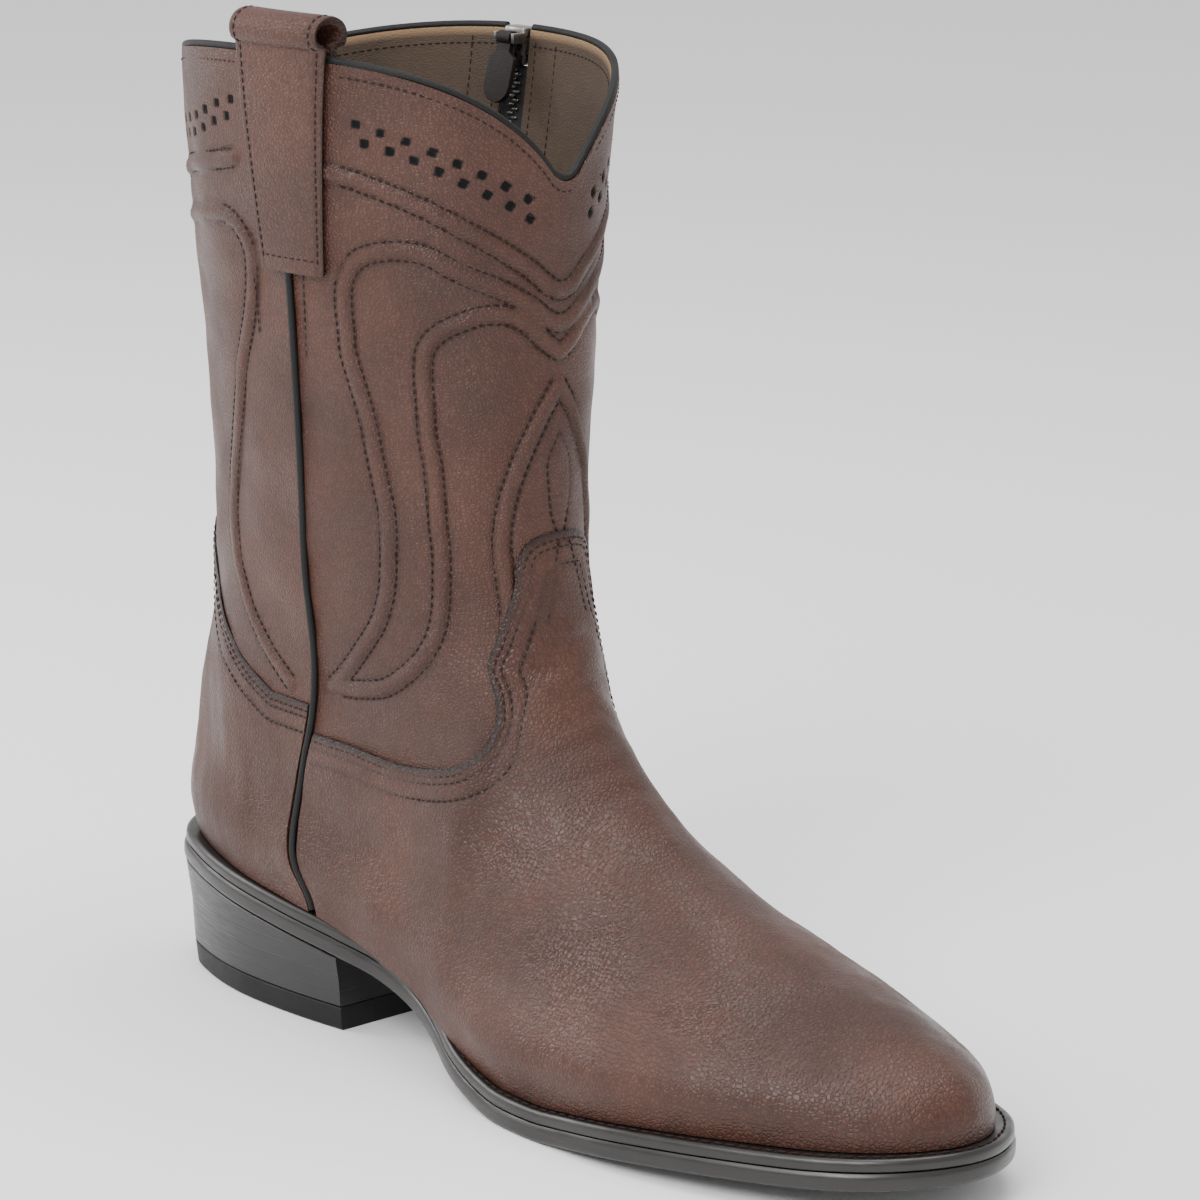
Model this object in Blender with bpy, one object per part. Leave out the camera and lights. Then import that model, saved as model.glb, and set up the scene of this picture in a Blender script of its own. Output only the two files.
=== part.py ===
"""Roper boot for the right foot, with a zip on its inner side.

Metres, +Z up, +X to the toe and +Y to the inner side. The boot is laid out from the back of its sole,
and the empty that carries it puts the origin under the middle of the heel.
"""

import math

import bmesh
import bpy
import numpy as np
from mathutils import Matrix, Vector

# Driving sizes of the last and the shaft
SOLE_LENGTH = 0.304
BALL_WIDTH = 0.103
BOOT_HEIGHT = 0.283
ANKLE_HEIGHT = 0.130
HEEL_LIFT = 0.034
TOE_SPRING = 0.0105
SHAFT_WIDTH = 0.103
FRONT_DIP = 0.036
BACK_DIP = 0.016

# Thicknesses and clearances
CLEAR = 0.0003
WALL = 0.0024
OVERLAY = 0.0011
SOLE_THICKNESS = 0.0050
WELT_THICKNESS = 0.0035
WELT_INSET = 0.0004
INSOLE_THICKNESS = 0.0050
EDGE_ROUND = 0.0012

# Heel
HEEL_BREAST = 0.089
HEEL_TAPER = 0.0035
HEEL_CAP = 0.0070
HEEL_WAIST = 0.65

# Piping, strap and zip
PIPING_RADIUS = 0.0011
PIPING_SEAT = 0.0008
SEAM_CLEAR = 0.0008
STRAP_WIDTH = 0.031
STRAP_END_WIDTH = 0.022
STRAP_THICKNESS = 0.0022
STRAP_DROP = 0.0620
STRAP_INSIDE_DROP = 0.0400
STRAP_RISE = 0.0083
STRAP_BULGE = 0.0047
STRAP_FULLNESS = 0.45
ZIP_X = 0.0660
ZIP_BOTTOM = 0.0940
SLOT_WIDTH = 0.0092
SLOT_CLEAR = 0.0005
CHAIN_WIDTH = 0.0042
CHAIN_PROUD = 0.0008
TAPE_THICKNESS = 0.0014
SLIDER_LENGTH = 0.0110
SLIDER_DEPTH = 0.0056
SLIDER_DROP = 0.0022
METAL_ROUND = 0.0008
BAR_RADIUS = 0.0007
BAR_STANDOFF = 0.0025
BAR_DROP = 0.0030
EAR_THICKNESS = 0.0011
EYE_WALL = 0.0008
EYE_CLEAR = 0.0005
PULL_WIDTH = 0.0100
PULL_LENGTH = 0.0190
PULL_THICKNESS = 0.0016
PULL_NECK = 0.0020
PULL_TILT = math.radians(13.0)

# Cut-outs under the collar
HOLE_WIDTH = 0.0036
HOLE_HEIGHT = 0.0028
HOLE_DEPTH = 0.0009
HOLE_PITCH = 0.0074
HOLE_ROWS = (0.0178, 0.0232)

# Facets
AROUND = 48
ROWS = 21
OVERLAY_ROWS = 16


def table(names, rows):
    """A table as a dictionary of columns."""
    return dict(zip(names.split(), np.array(rows, float).T))


# Sole outline from above: place along the sole, half widths as shares of BALL_WIDTH, welt ledge in metres
OUTLINE = table(
    "along lateral medial ledge",
    (
        (0.000, 0.000, 0.000, 0.0034),
        (0.030, 0.205, 0.195, 0.0034),
        (0.075, 0.275, 0.275, 0.0034),
        (0.135, 0.322, 0.318, 0.0032),
        (0.215, 0.335, 0.320, 0.0028),
        (0.293, 0.320, 0.268, 0.0006),
        (0.345, 0.300, 0.240, -0.0025),
        (0.395, 0.310, 0.230, -0.0024),
        (0.440, 0.355, 0.255, -0.0004),
        (0.485, 0.418, 0.310, 0.0032),
        (0.530, 0.458, 0.352, 0.0046),
        (0.580, 0.492, 0.402, 0.0052),
        (0.645, 0.502, 0.455, 0.0050),
        (0.712, 0.500, 0.492, 0.0054),
        (0.787, 0.455, 0.478, 0.0056),
        (0.852, 0.396, 0.428, 0.0058),
        (0.908, 0.332, 0.355, 0.0058),
        (0.951, 0.258, 0.274, 0.0054),
        (0.978, 0.176, 0.188, 0.0050),
        (1.000, 0.000, 0.000, 0.0048),
    ),
)

# Underside of the outsole: place along the sole, shares of HEEL_LIFT and of TOE_SPRING
UNDERSIDE = table(
    "along lift spring",
    (
        (0.000, 1.000, 0.00),
        (0.100, 0.895, 0.00),
        (0.215, 0.765, 0.00),
        (0.293, 0.665, 0.00),
        (0.330, 0.600, 0.00),
        (0.370, 0.500, 0.00),
        (0.410, 0.385, 0.00),
        (0.445, 0.265, 0.00),
        (0.485, 0.140, 0.00),
        (0.525, 0.045, 0.00),
        (0.560, 0.000, 0.00),
        (0.620, 0.000, 0.00),
        (0.660, 0.000, 0.12),
        (0.720, 0.000, 0.30),
        (0.800, 0.000, 0.47),
        (0.890, 0.000, 0.65),
        (1.000, 0.000, 1.00),
    ),
)

# Side view and shaft width: height is 0 to 1 up to the ankle and 1 to 2 from there to the collar,
# front and back are shares of SOLE_LENGTH, half is a share of SHAFT_WIDTH
PROFILE = table(
    "height front back half",
    (
        (0.140, 0.984, 0.030, 0.280),
        (0.205, 0.981, 0.029, 0.285),
        (0.250, 0.967, 0.024, 0.290),
        (0.292, 0.937, 0.019, 0.300),
        (0.330, 0.892, 0.013, 0.305),
        (0.372, 0.828, 0.008, 0.310),
        (0.424, 0.754, 0.004, 0.312),
        (0.492, 0.678, 0.001, 0.314),
        (0.585, 0.607, 0.001, 0.318),
        (0.710, 0.546, 0.009, 0.326),
        (0.850, 0.503, 0.021, 0.336),
        (1.000, 0.477, 0.029, 0.350),
        (1.150, 0.464, 0.031, 0.370),
        (1.320, 0.458, 0.028, 0.400),
        (1.500, 0.455, 0.023, 0.436),
        (1.700, 0.456, 0.016, 0.482),
        (1.880, 0.459, 0.010, 0.516),
        (2.080, 0.462, 0.006, 0.536),
    ),
)

# Rings from the feather line, 0, to the collar, 1: rise of the ring at the front and at the back,
# 0 to 1 from the feather line to the ankle and 1 to 2 from there to the collar
RINGS = table(
    "level front back",
    (
        (0.00, 0.000, 0.000),
        (0.04, 0.041, 0.052),
        (0.09, 0.106, 0.112),
        (0.15, 0.188, 0.186),
        (0.22, 0.288, 0.298),
        (0.30, 0.412, 0.433),
        (0.38, 0.553, 0.589),
        (0.46, 0.706, 0.761),
        (0.54, 0.882, 0.940),
        (0.60, 1.020, 1.060),
        (1.00, 1.760, 1.920),
    ),
)

# Side seam in side view: height as a share of BOOT_HEIGHT, place along as a share of SOLE_LENGTH
SEAM = table(
    "height along",
    (
        (0.100, 0.262),
        (0.140, 0.256),
        (0.165, 0.243),
        (0.200, 0.234),
        (0.265, 0.238),
        (0.320, 0.251),
        (0.520, 0.256),
        (0.780, 0.263),
        (1.060, 0.272),
    ),
)

# Top edge of the vamp in side view, from the seam to the tip of its tongue, in the same shares
VAMP_EDGE = table(
    "along height",
    (
        (0.299, 0.304),
        (0.376, 0.301),
        (0.440, 0.313),
        (0.464, 0.332),
        (0.469, 0.357),
        (0.462, 0.384),
        (0.449, 0.408),
        (0.450, 0.436),
        (0.453, 0.480),
        (0.453, 0.518),
        (0.461, 0.537),
        (0.480, 0.545),
    ),
)

# Top edge of the counter in side view, from the seam to the back
COUNTER_EDGE = table(
    "along height",
    (
        (0.190, 0.333),
        (0.135, 0.360),
        (0.095, 0.397),
        (0.073, 0.440),
        (0.050, 0.478),
        (0.000, 0.500),
    ),
)


def curve(rows, name, at):
    """Smooth curve through a table's rows, read at the places `at` of its first column."""
    key = next(iter(rows))
    xs, ys = rows[key], rows[name]
    slope = np.gradient(ys, xs)
    step = np.diff(xs)
    at = np.clip(np.asarray(at, float), xs[0], xs[-1])
    i = np.clip(np.searchsorted(xs, at, side="right") - 1, 0, len(step) - 1)
    t = (at - xs[i]) / step[i]
    ends = (1 + 2 * t) * (1 - t) ** 2 * ys[i] + t * t * (3 - 2 * t) * ys[i + 1]
    return ends + t * (1 - t) * step[i] * ((1 - t) * slope[i] - t * slope[i + 1])


def smooth(low, high, value):
    """0 below low, 1 above high, and a soft step between."""
    t = np.clip((np.asarray(value, float) - low) / (high - low), 0, 1)
    return t * t * (3 - 2 * t)


# Squares of the half widths, which run straight into the round ends of the sole
ROUND_ENDS = {
    "along": OUTLINE["along"],
    "lateral": OUTLINE["lateral"] ** 2,
    "medial": OUTLINE["medial"] ** 2,
}


def sole_half(x, side, ledge=0.0):
    """Half width of the sole at x, less `ledge` times the table's welt ledge."""
    first = OUTLINE["ledge"][0] * ledge
    last = OUTLINE["ledge"][-1] * ledge
    along = (np.asarray(x, float) - first) / (SOLE_LENGTH - first - last)
    lateral = np.sqrt(np.maximum(curve(ROUND_ENDS, "lateral", along), 0))
    medial = np.sqrt(np.maximum(curve(ROUND_ENDS, "medial", along), 0))
    half = BALL_WIDTH * np.where(np.asarray(side) < 0, lateral, medial)
    narrow = np.minimum(ledge * curve(OUTLINE, "ledge", along), 0.2 * half)
    return np.where((along > 0) & (along < 1), half - narrow, 0.0)


def underside_z(x):
    along = np.asarray(x, float) / SOLE_LENGTH
    lift = HEEL_LIFT * curve(UNDERSIDE, "lift", along)
    return np.maximum(lift + TOE_SPRING * curve(UNDERSIDE, "spring", along), 0)


def welt_z(x):
    """Underside of the welt."""
    return underside_z(x) + SOLE_THICKNESS + CLEAR


def feather_z(x):
    """Lower edge of the upper, on the welt."""
    return welt_z(x) + WELT_THICKNESS + CLEAR


def height_share(z):
    z = np.asarray(z, float)
    shaft = 1 + (z - ANKLE_HEIGHT) / (BOOT_HEIGHT - ANKLE_HEIGHT)
    return np.where(z < ANKLE_HEIGHT, z / ANKLE_HEIGHT, shaft)


def front_x(z):
    return SOLE_LENGTH * curve(PROFILE, "front", height_share(z))


def back_x(z):
    return SOLE_LENGTH * curve(PROFILE, "back", height_share(z))


def instep_z(x):
    """Height of the front line over x, and no limit behind the shaft's front."""
    heights = np.linspace(PROFILE["height"][0] * ANKLE_HEIGHT, BOOT_HEIGHT, 1500)
    front = front_x(heights)
    last = int(np.argmin(front))
    line = np.interp(x, front[: last + 1][::-1], heights[: last + 1][::-1])
    return np.where(x < front[last], 2 * BOOT_HEIGHT, line)


def half_y(x, z, side):
    """Distance of the upper's outer skin from the middle plane: the last below, an oval shaft above."""
    along = np.clip((x - back_x(z)) / (front_x(z) - back_x(z)), 0, 1)
    foot_bottom = feather_z(x)
    up = np.clip((z - foot_bottom) / np.maximum(instep_z(x) - foot_bottom, 1e-6), 0, 1)
    arch = (1 - up**2.2) ** (1 / 1.75)
    bulge = 1 + 0.11 * np.exp(-(((z - foot_bottom - 0.014) / 0.012) ** 2))
    heel_end = (back_x(z) - OUTLINE["ledge"][0]) * (1 - along) ** 3
    toe_end = (PROFILE["front"][0] * SOLE_LENGTH - SOLE_LENGTH + OUTLINE["ledge"][-1]) * along**3
    foot = sole_half(x - heel_end - toe_end, side, 1.0) * arch * bulge
    oval = np.clip(1 - np.abs(2 * along - 1) ** 2.1, 0, 1) ** (1 / 1.9)
    shaft = SHAFT_WIDTH * curve(PROFILE, "half", height_share(z)) * oval
    blend = smooth(0.38 * ANKLE_HEIGHT, 1.04 * ANKLE_HEIGHT, z)
    closing = np.clip(np.minimum(along, 1 - along) / 0.002, 0, 1)
    return side * closing * (foot * (1 - blend) + shaft * blend)


def collar_z(theta):
    """Height of the collar: level at the sides, a deep point in front and a soft dip behind."""
    turn = np.abs((np.asarray(theta, float) + math.pi) % (2 * math.pi) - math.pi)
    front = np.clip(1 - (math.pi - turn) / (math.pi / 2), 0, 1) ** 3.1
    back = np.clip(1 - turn / (math.pi / 2), 0, 1) ** 1.8
    return BOOT_HEIGHT - FRONT_DIP * front - BACK_DIP * back


def risen(rise, foot_bottom):
    shaft = ANKLE_HEIGHT + (rise - 1) * (BOOT_HEIGHT - ANKLE_HEIGHT)
    return np.where(rise < 1, foot_bottom + (ANKLE_HEIGHT - foot_bottom) * rise, shaft)


def surface(theta, level):
    """Outer form of the boot. theta is 0 at the back, a quarter turn on the outer side and half a turn
    in front, and level runs from the feather line, 0, to the collar, 1."""
    theta, level = np.broadcast_arrays(np.asarray(theta, float), np.asarray(level, float))
    share = (1 - np.cos(theta)) / 2
    side = np.where(theta % (2 * math.pi) < math.pi, -1.0, 1.0)
    toe_bottom = feather_z(0.98 * SOLE_LENGTH)
    heel_bottom = feather_z(0.02 * SOLE_LENGTH)
    front = risen(curve(RINGS, "front", level), toe_bottom)
    back = risen(curve(RINGS, "back", level), heel_bottom)
    plain_top = risen(RINGS["back"][-1] + (RINGS["front"][-1] - RINGS["back"][-1]) * share, 0)
    to_collar = (collar_z(theta) - plain_top) * smooth(0.6, 1.0, level)
    straight = heel_bottom + (toe_bottom - heel_bottom) * share
    x = back_x(back) + (front_x(front) - back_x(back)) * share
    for _ in range(3):
        follow = (feather_z(x) - straight) * (1 - np.clip(level / 0.5, 0, 1)) ** 2
        z = back + (front - back) * share + to_collar + follow
        x = back_x(z) + (front_x(z) - back_x(z)) * share
    return np.stack([x, half_y(x, z, side), z], -1)


def skin(theta, level, offset=0.0):
    """The shell `offset` metres outside the upper's leather, which is thinner where an overlay covers it."""
    theta, level = np.broadcast_arrays(np.asarray(theta, float), np.asarray(level, float))
    turn, climb = 0.03, 0.001
    around = surface(theta + turn, level) - surface(theta - turn, level)
    above, below = np.minimum(level + climb, 1), np.maximum(level - climb, 0)
    upward = surface(theta, above) - surface(theta, below)
    normal = np.cross(around, upward)
    normal /= np.linalg.norm(normal, axis=-1, keepdims=True)
    under_overlay = (OVERLAY + CLEAR) * (1 - smooth(0.45, 0.62, level))
    return surface(theta, level) + normal * (offset - under_overlay)[..., None]


def side_point(x, z, side, offset=0.0):
    """The same shell at a place of the side view, for what is laid out there."""
    x, z, side = np.broadcast_arrays(np.asarray(x, float), np.asarray(z, float), np.asarray(side, float))
    small = 2e-4
    slope_x = (half_y(x + small, z, side) - half_y(x - small, z, side)) / (2 * small)
    slope_z = (half_y(x, z + small, side) - half_y(x, z - small, side)) / (2 * small)
    normal = np.stack([-side * slope_x, side, -side * slope_z], -1)
    normal /= np.linalg.norm(normal, axis=-1, keepdims=True)
    under_overlay = (OVERLAY + CLEAR) * (1 - smooth(0.80 * ANKLE_HEIGHT, 1.05 * ANKLE_HEIGHT, z))
    point = np.stack([x, half_y(x, z, side), z], -1)
    return point + normal * (offset - under_overlay)[..., None]


def seam_x(z):
    return SOLE_LENGTH * curve(SEAM, "along", np.asarray(z, float) / BOOT_HEIGHT)


STRAP_X = float(seam_x(BOOT_HEIGHT))
MEDIAL = 1.0
LATERAL = -1.0
# The seam of the inner side runs down from the zip
SEAM_SHIFT = {LATERAL: 0.0, MEDIAL: ZIP_X - float(seam_x(ZIP_BOTTOM))}


def cleared_scene():
    for old in list(bpy.data.objects):
        bpy.data.objects.remove(old, do_unlink=True)


def collection(name):
    made = bpy.data.collections.new(name)
    bpy.context.scene.collection.children.link(made)
    return made


def finish(name, color, roughness, metallic=0.0):
    material = bpy.data.materials.new(name)
    material.use_nodes = True
    shader = material.node_tree.nodes["Principled BSDF"]
    shader.inputs["Base Color"].default_value = (*color, 1)
    shader.inputs["Roughness"].default_value = roughness
    shader.inputs["Metallic"].default_value = metallic
    return material


class Workshop:
    """The collections of the boot and its cutters, the empty that carries it, and its materials."""

    def __init__(self):
        cleared_scene()
        self.parts = collection("roper_boot")
        self.cutters = collection("cutters")
        self.cutters.hide_render = True
        self.stand = bpy.data.objects.new("boot_stand", None)
        self.stand.location = (-HEEL_BREAST / 2, 0, 0)
        self.parts.objects.link(self.stand)
        self.leather = finish("brown_leather", (0.17, 0.07, 0.035), 0.45)
        self.dark = finish("dark_leather", (0.03, 0.02, 0.015), 0.5)
        self.sole = finish("sole_brown", (0.035, 0.025, 0.02), 0.4)
        self.rubber = finish("rubber", (0.02, 0.02, 0.02), 0.6)
        self.lining = finish("lining", (0.16, 0.11, 0.06), 0.7)
        self.tape = finish("black_tape", (0.01, 0.01, 0.01), 0.8)
        self.metal = finish("dark_nickel", (0.3, 0.29, 0.28), 0.3, 1.0)

    def place(self, name, mesh, material, smooth_angle=math.radians(35)):
        mesh.materials.append(material)
        if smooth_angle:
            mesh.shade_smooth()
            mesh.set_sharp_from_angle(angle=smooth_angle)
        made = bpy.data.objects.new(name, mesh)
        made.parent = self.stand
        self.parts.objects.link(made)
        return made

    def cutter(self, name, mesh):
        made = bpy.data.objects.new(name, mesh)
        made.parent = self.stand
        made.hide_render = True
        made.display_type = "WIRE"
        self.cutters.objects.link(made)
        return made


def boolean(target, other, operation, cutters_overlap=False):
    made = target.modifiers.new(operation.lower(), "BOOLEAN")
    made.operation = operation
    made.solver = "EXACT"
    made.use_self = cutters_overlap
    made.object = other
    return made


def mesh_of(name, build):
    """A mesh made by build(bm), with its faces turned outwards."""
    bm = bmesh.new()
    build(bm)
    bmesh.ops.recalc_face_normals(bm, faces=bm.faces)
    mesh = bpy.data.meshes.new(name)
    bm.to_mesh(mesh)
    bm.free()
    return mesh


def hoop(name, rings):
    """A solid from rings that close on themselves, the last ring joined to the first. Each quad is split
    along the same diagonal, so that two shells of one form lie parallel."""

    def build(bm):
        verts = [[bm.verts.new(point) for point in ring] for ring in rings]
        for row, after in zip(verts, verts[1:] + verts[:1]):
            for i in range(len(row)):
                k = (i + 1) % len(row)
                bm.faces.new((row[i], row[k], after[k]))
                bm.faces.new((row[i], after[k], after[i]))

    return mesh_of(name, build)


def slab(name, rings):
    """A solid from stacked rings, capped by strips from each point to the one across from it."""

    def build(bm):
        verts = [[bm.verts.new(point) for point in ring] for ring in rings]
        count = len(verts[0])
        for row, after in zip(verts, verts[1:]):
            for i in range(count):
                k = (i + 1) % count
                bm.faces.new((row[i], row[k], after[k], after[i]))
        for row in (verts[0], verts[-1]):
            for i in range(count // 2):
                corners = [row[i], row[i + 1], row[count - 1 - i], row[-i]]
                bm.faces.new(list(dict.fromkeys(corners)))

    return mesh_of(name, build)


def block(name, outer, inner):
    """A solid between two grids of points, with walls round their edges."""

    def build(bm):
        top = [[bm.verts.new(point) for point in row] for row in outer]
        low = [[bm.verts.new(point) for point in row] for row in inner]
        for grid in (top, low):
            for row, after in zip(grid, grid[1:]):
                for i in range(len(row) - 1):
                    bm.faces.new((row[i], row[i + 1], after[i + 1], after[i]))
        edges = []
        for grid in (top, low):
            right = [row[-1] for row in grid]
            left = [row[0] for row in grid][::-1]
            edges.append(grid[0] + right[1:] + grid[-1][::-1][1:] + left[1:-1])
        for i in range(len(edges[0])):
            k = (i + 1) % len(edges[0])
            bm.faces.new((edges[0][i], edges[0][k], edges[1][k], edges[1][i]))

    return mesh_of(name, build)


def side_form(name, lateral, medial):
    """A solid across the boot with the side-view outline (x, z) of each side on its own half."""

    def build(bm):
        half = BALL_WIDTH / 6
        places = ((-BALL_WIDTH, lateral), (-half, lateral), (half, medial), (BALL_WIDTH, medial))
        verts = [[bm.verts.new((x, y, z)) for x, z in outline] for y, outline in places]
        bm.faces.new(verts[0])
        bm.faces.new(verts[-1])
        for row, after in zip(verts, verts[1:]):
            for i in range(len(row)):
                k = (i + 1) % len(row)
                bm.faces.new((row[i], row[k], after[k], after[i]))

    return mesh_of(name, build)


def tube(shop, name, points, radius, material, sides=6):
    """A round bead along a line of points, as a mesh."""
    line = bpy.data.curves.new(name, "CURVE")
    line.dimensions = "3D"
    line.bevel_depth = radius
    line.bevel_resolution = sides // 2 - 2
    line.use_fill_caps = True
    spline = line.splines.new("POLY")
    spline.points.add(len(points) - 1)
    for place, point in zip(spline.points, points):
        place.co = (*point, 1)
    guide = bpy.data.objects.new(name + "_line", line)
    bpy.context.scene.collection.objects.link(guide)
    mesh = bpy.data.meshes.new_from_object(guide.evaluated_get(bpy.context.evaluated_depsgraph_get()))
    bpy.data.objects.remove(guide, do_unlink=True)
    bm = bmesh.new()
    bm.from_mesh(mesh)
    bmesh.ops.remove_doubles(bm, verts=bm.verts, dist=1e-6)
    bmesh.ops.recalc_face_normals(bm, faces=bm.faces)
    bm.to_mesh(mesh)
    bm.free()
    return shop.place(name, mesh, material)


def level_under_collar(drop):
    """The level that lies `drop` metres under the collar at the sides."""
    near = 0.98
    rise = surface(math.pi / 2, 1.0)[2] - surface(math.pi / 2, near)[2]
    return 1 - drop * (1 - near) / float(rise)


# The upper's own rim leaves room for the piping under the collar's height
RIM_LEVEL = level_under_collar(2 * PIPING_RADIUS + PIPING_SEAT)
THETAS = np.arange(AROUND) * (2 * math.pi / AROUND)
LEVELS = np.linspace(0, RIM_LEVEL, ROWS)


def shell_rings(levels, offset):
    return [skin(THETAS, level, offset) for level in levels]


def make_upper(shop):
    outer = shell_rings(LEVELS, 0.0)
    inner = shell_rings(LEVELS, -WALL)
    upper = shop.place("upper", hoop("upper", outer + inner[::-1]), shop.leather)
    half = SLOT_WIDTH / 2
    low = (ZIP_X - half, 0.2 * BALL_WIDTH, ZIP_BOTTOM)
    high = (ZIP_X + half, BALL_WIDTH, 1.1 * BOOT_HEIGHT)
    boolean(upper, shop.cutter("zip_slot", box_mesh("zip_slot", low, high)), "DIFFERENCE")
    boolean(upper, shop.cutter("cut_outs", cut_outs()), "DIFFERENCE", cutters_overlap=True)
    return upper


def cut_outs():
    """Small upright boxes in two staggered rows under the collar, clear of the strap and the zip."""

    def build(bm):
        for row, drop in enumerate(HOLE_ROWS):
            for theta, level in hole_places(row, drop):
                here = skin(theta, level)
                along = Vector(skin(theta + 0.01, level) - skin(theta - 0.01, level)).normalized()
                outward = Vector(skin(theta, level, 0.001) - here).normalized()
                up = outward.cross(along)
                turn = Matrix((along, outward, up)).transposed().to_4x4()
                grow = Matrix.Diagonal((HOLE_WIDTH, 2 * HOLE_DEPTH, HOLE_HEIGHT, 1))
                bmesh.ops.create_cube(bm, size=1, matrix=Matrix.Translation(Vector(here)) @ turn @ grow)

    return mesh_of("cut_outs", build)


def hole_places(row, drop):
    """Places one pitch apart along the collar, every other row half a pitch on."""
    fine = np.linspace(0, 2 * math.pi, 2000)
    level = level_under_collar(drop)
    line = skin(fine, level)
    run = np.concatenate([[0], np.cumsum(np.linalg.norm(np.diff(line, axis=0), axis=1))])
    count = round(run[-1] / HOLE_PITCH)
    places = []
    for k in range(count):
        theta = float(np.interp((k + 0.25 + row / 2) * run[-1] / count, run, fine))
        x, y, _ = skin(theta, level)
        middle, gap = (STRAP_X, STRAP_WIDTH / 2) if y < 0 else (ZIP_X, SLOT_WIDTH / 2)
        if abs(x - middle) > gap + HOLE_WIDTH and abs(y) > HOLE_WIDTH:
            places.append((theta, level))
    return places


def edge_points(rows, count=24):
    """The smooth line through an edge table in side view, in metres."""
    steps = np.arange(len(rows["along"]))
    eased = {"step": steps, "along": rows["along"], "height": rows["height"]}
    at = np.linspace(0, steps[-1], count)
    xs = SOLE_LENGTH * curve(eased, "along", at)
    zs = BOOT_HEIGHT * curve(eased, "height", at)
    return list(zip(xs, zs))


def seam_points(side, offset, top):
    """The side seam from under the sole up to `top`, moved along the boot by offset."""
    heights = np.concatenate([[-0.02], np.linspace(0.1 * BOOT_HEIGHT, top, 9)])
    return [(float(seam_x(z)) + SEAM_SHIFT[side] + offset, float(z)) for z in heights]


def make_overlays(shop):
    """Vamp and counter: one shell round the upper, cut by the side-view outlines of the two pieces."""
    gap = PIPING_RADIUS + SEAM_CLEAR
    ahead = [
        (0.60 * SOLE_LENGTH, 0.56 * BOOT_HEIGHT),
        (1.10 * SOLE_LENGTH, 0.30 * BOOT_HEIGHT),
        (1.10 * SOLE_LENGTH, -0.02),
    ]
    behind = [(-0.10 * SOLE_LENGTH, 0.50 * BOOT_HEIGHT), (-0.10 * SOLE_LENGTH, -0.02)]
    pieces = (("vamp", VAMP_EDGE, gap, ahead), ("counter", COUNTER_EDGE, -gap, behind))
    for name, edge, offset, beyond in pieces:
        outer = shell_rings(LEVELS[:OVERLAY_ROWS], CLEAR + OVERLAY)
        inner = shell_rings(LEVELS[:OVERLAY_ROWS], CLEAR)
        piece = shop.place(name, hoop(name, inner + outer[::-1]), shop.leather)
        top = float(edge["height"][0]) * BOOT_HEIGHT
        outlines = [
            seam_points(side, offset, top) + edge_points(edge) + beyond for side in (LATERAL, MEDIAL)
        ]
        form = side_form(name + "_outline", *outlines)
        boolean(piece, shop.cutter(name + "_outline", form), "INTERSECT")


def make_piping(shop):
    half = SLOT_WIDTH / 2 + CLEAR
    rim = skin(THETAS, RIM_LEVEL, -WALL / 2) + np.array([0, 0, PIPING_RADIUS + PIPING_SEAT])
    inner_side = rim[THETAS > math.pi]
    ends = [
        [np.interp(x, inner_side[::-1, 0], inner_side[::-1, k]) for k in range(3)]
        for x in (ZIP_X - half, ZIP_X + half)
    ]
    behind_zip = inner_side[inner_side[:, 0] < ZIP_X - half]
    before_zip = inner_side[inner_side[:, 0] > ZIP_X + half]
    points = np.vstack([ends[0], behind_zip, rim[THETAS <= math.pi], before_zip, ends[1]])
    tube(shop, "collar_piping", points, PIPING_RADIUS, shop.dark)
    seat = PIPING_RADIUS + PIPING_SEAT
    for name, side, high in (
        ("side_piping", LATERAL, BOOT_HEIGHT - STRAP_DROP - PIPING_RADIUS),
        ("inner_piping", MEDIAL, ZIP_BOTTOM - PIPING_RADIUS - CLEAR),
    ):
        low = float(feather_z(seam_x(0.15 * BOOT_HEIGHT) + SEAM_SHIFT[side])) + PIPING_RADIUS + CLEAR
        heights = np.linspace(low, high, 5 + round((high - low) / 0.012))
        points = side_point(seam_x(heights) + SEAM_SHIFT[side], heights, side, seat)
        tube(shop, name, points, PIPING_RADIUS, shop.dark)


def strap_column(share, offset):
    """A line of the strap at `share` of its width from its middle: up the outside, over the collar and
    down the inside."""
    outside = np.linspace(BOOT_HEIGHT - STRAP_DROP, BOOT_HEIGHT, 6)
    inside = np.linspace(BOOT_HEIGHT, BOOT_HEIGHT - STRAP_INSIDE_DROP, 4)

    def across(heights):
        width = STRAP_WIDTH + (STRAP_END_WIDTH - STRAP_WIDTH) * (BOOT_HEIGHT - heights) / STRAP_DROP
        return STRAP_X + share * width

    seat = CLEAR + STRAP_THICKNESS / 2
    out = side_point(across(outside), outside, LATERAL, seat + offset)
    back = side_point(across(inside), inside, LATERAL, -WALL - seat - offset)
    middle = (out[-1] + back[0]) / 2
    half = (back[0][1] - out[-1][1]) / 2
    arch = []
    for turn in np.linspace(0, math.pi, 12)[1:-1]:
        swell = (half + STRAP_BULGE * math.sin(turn) ** STRAP_FULLNESS) * math.cos(turn)
        arch.append((middle[0], middle[1] - swell, BOOT_HEIGHT + (STRAP_RISE + offset) * math.sin(turn)))
    return np.concatenate([out, np.array(arch), back])


def make_strap(shop):
    across = np.linspace(-0.5, 0.5, 5)
    faces = []
    for offset in (STRAP_THICKNESS / 2, -STRAP_THICKNESS / 2):
        columns = [strap_column(share, offset) for share in across]
        faces.append([[column[i] for column in columns] for i in range(len(columns[0]))])
    shop.place("pull_strap", block("pull_strap", *faces), shop.leather)


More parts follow.
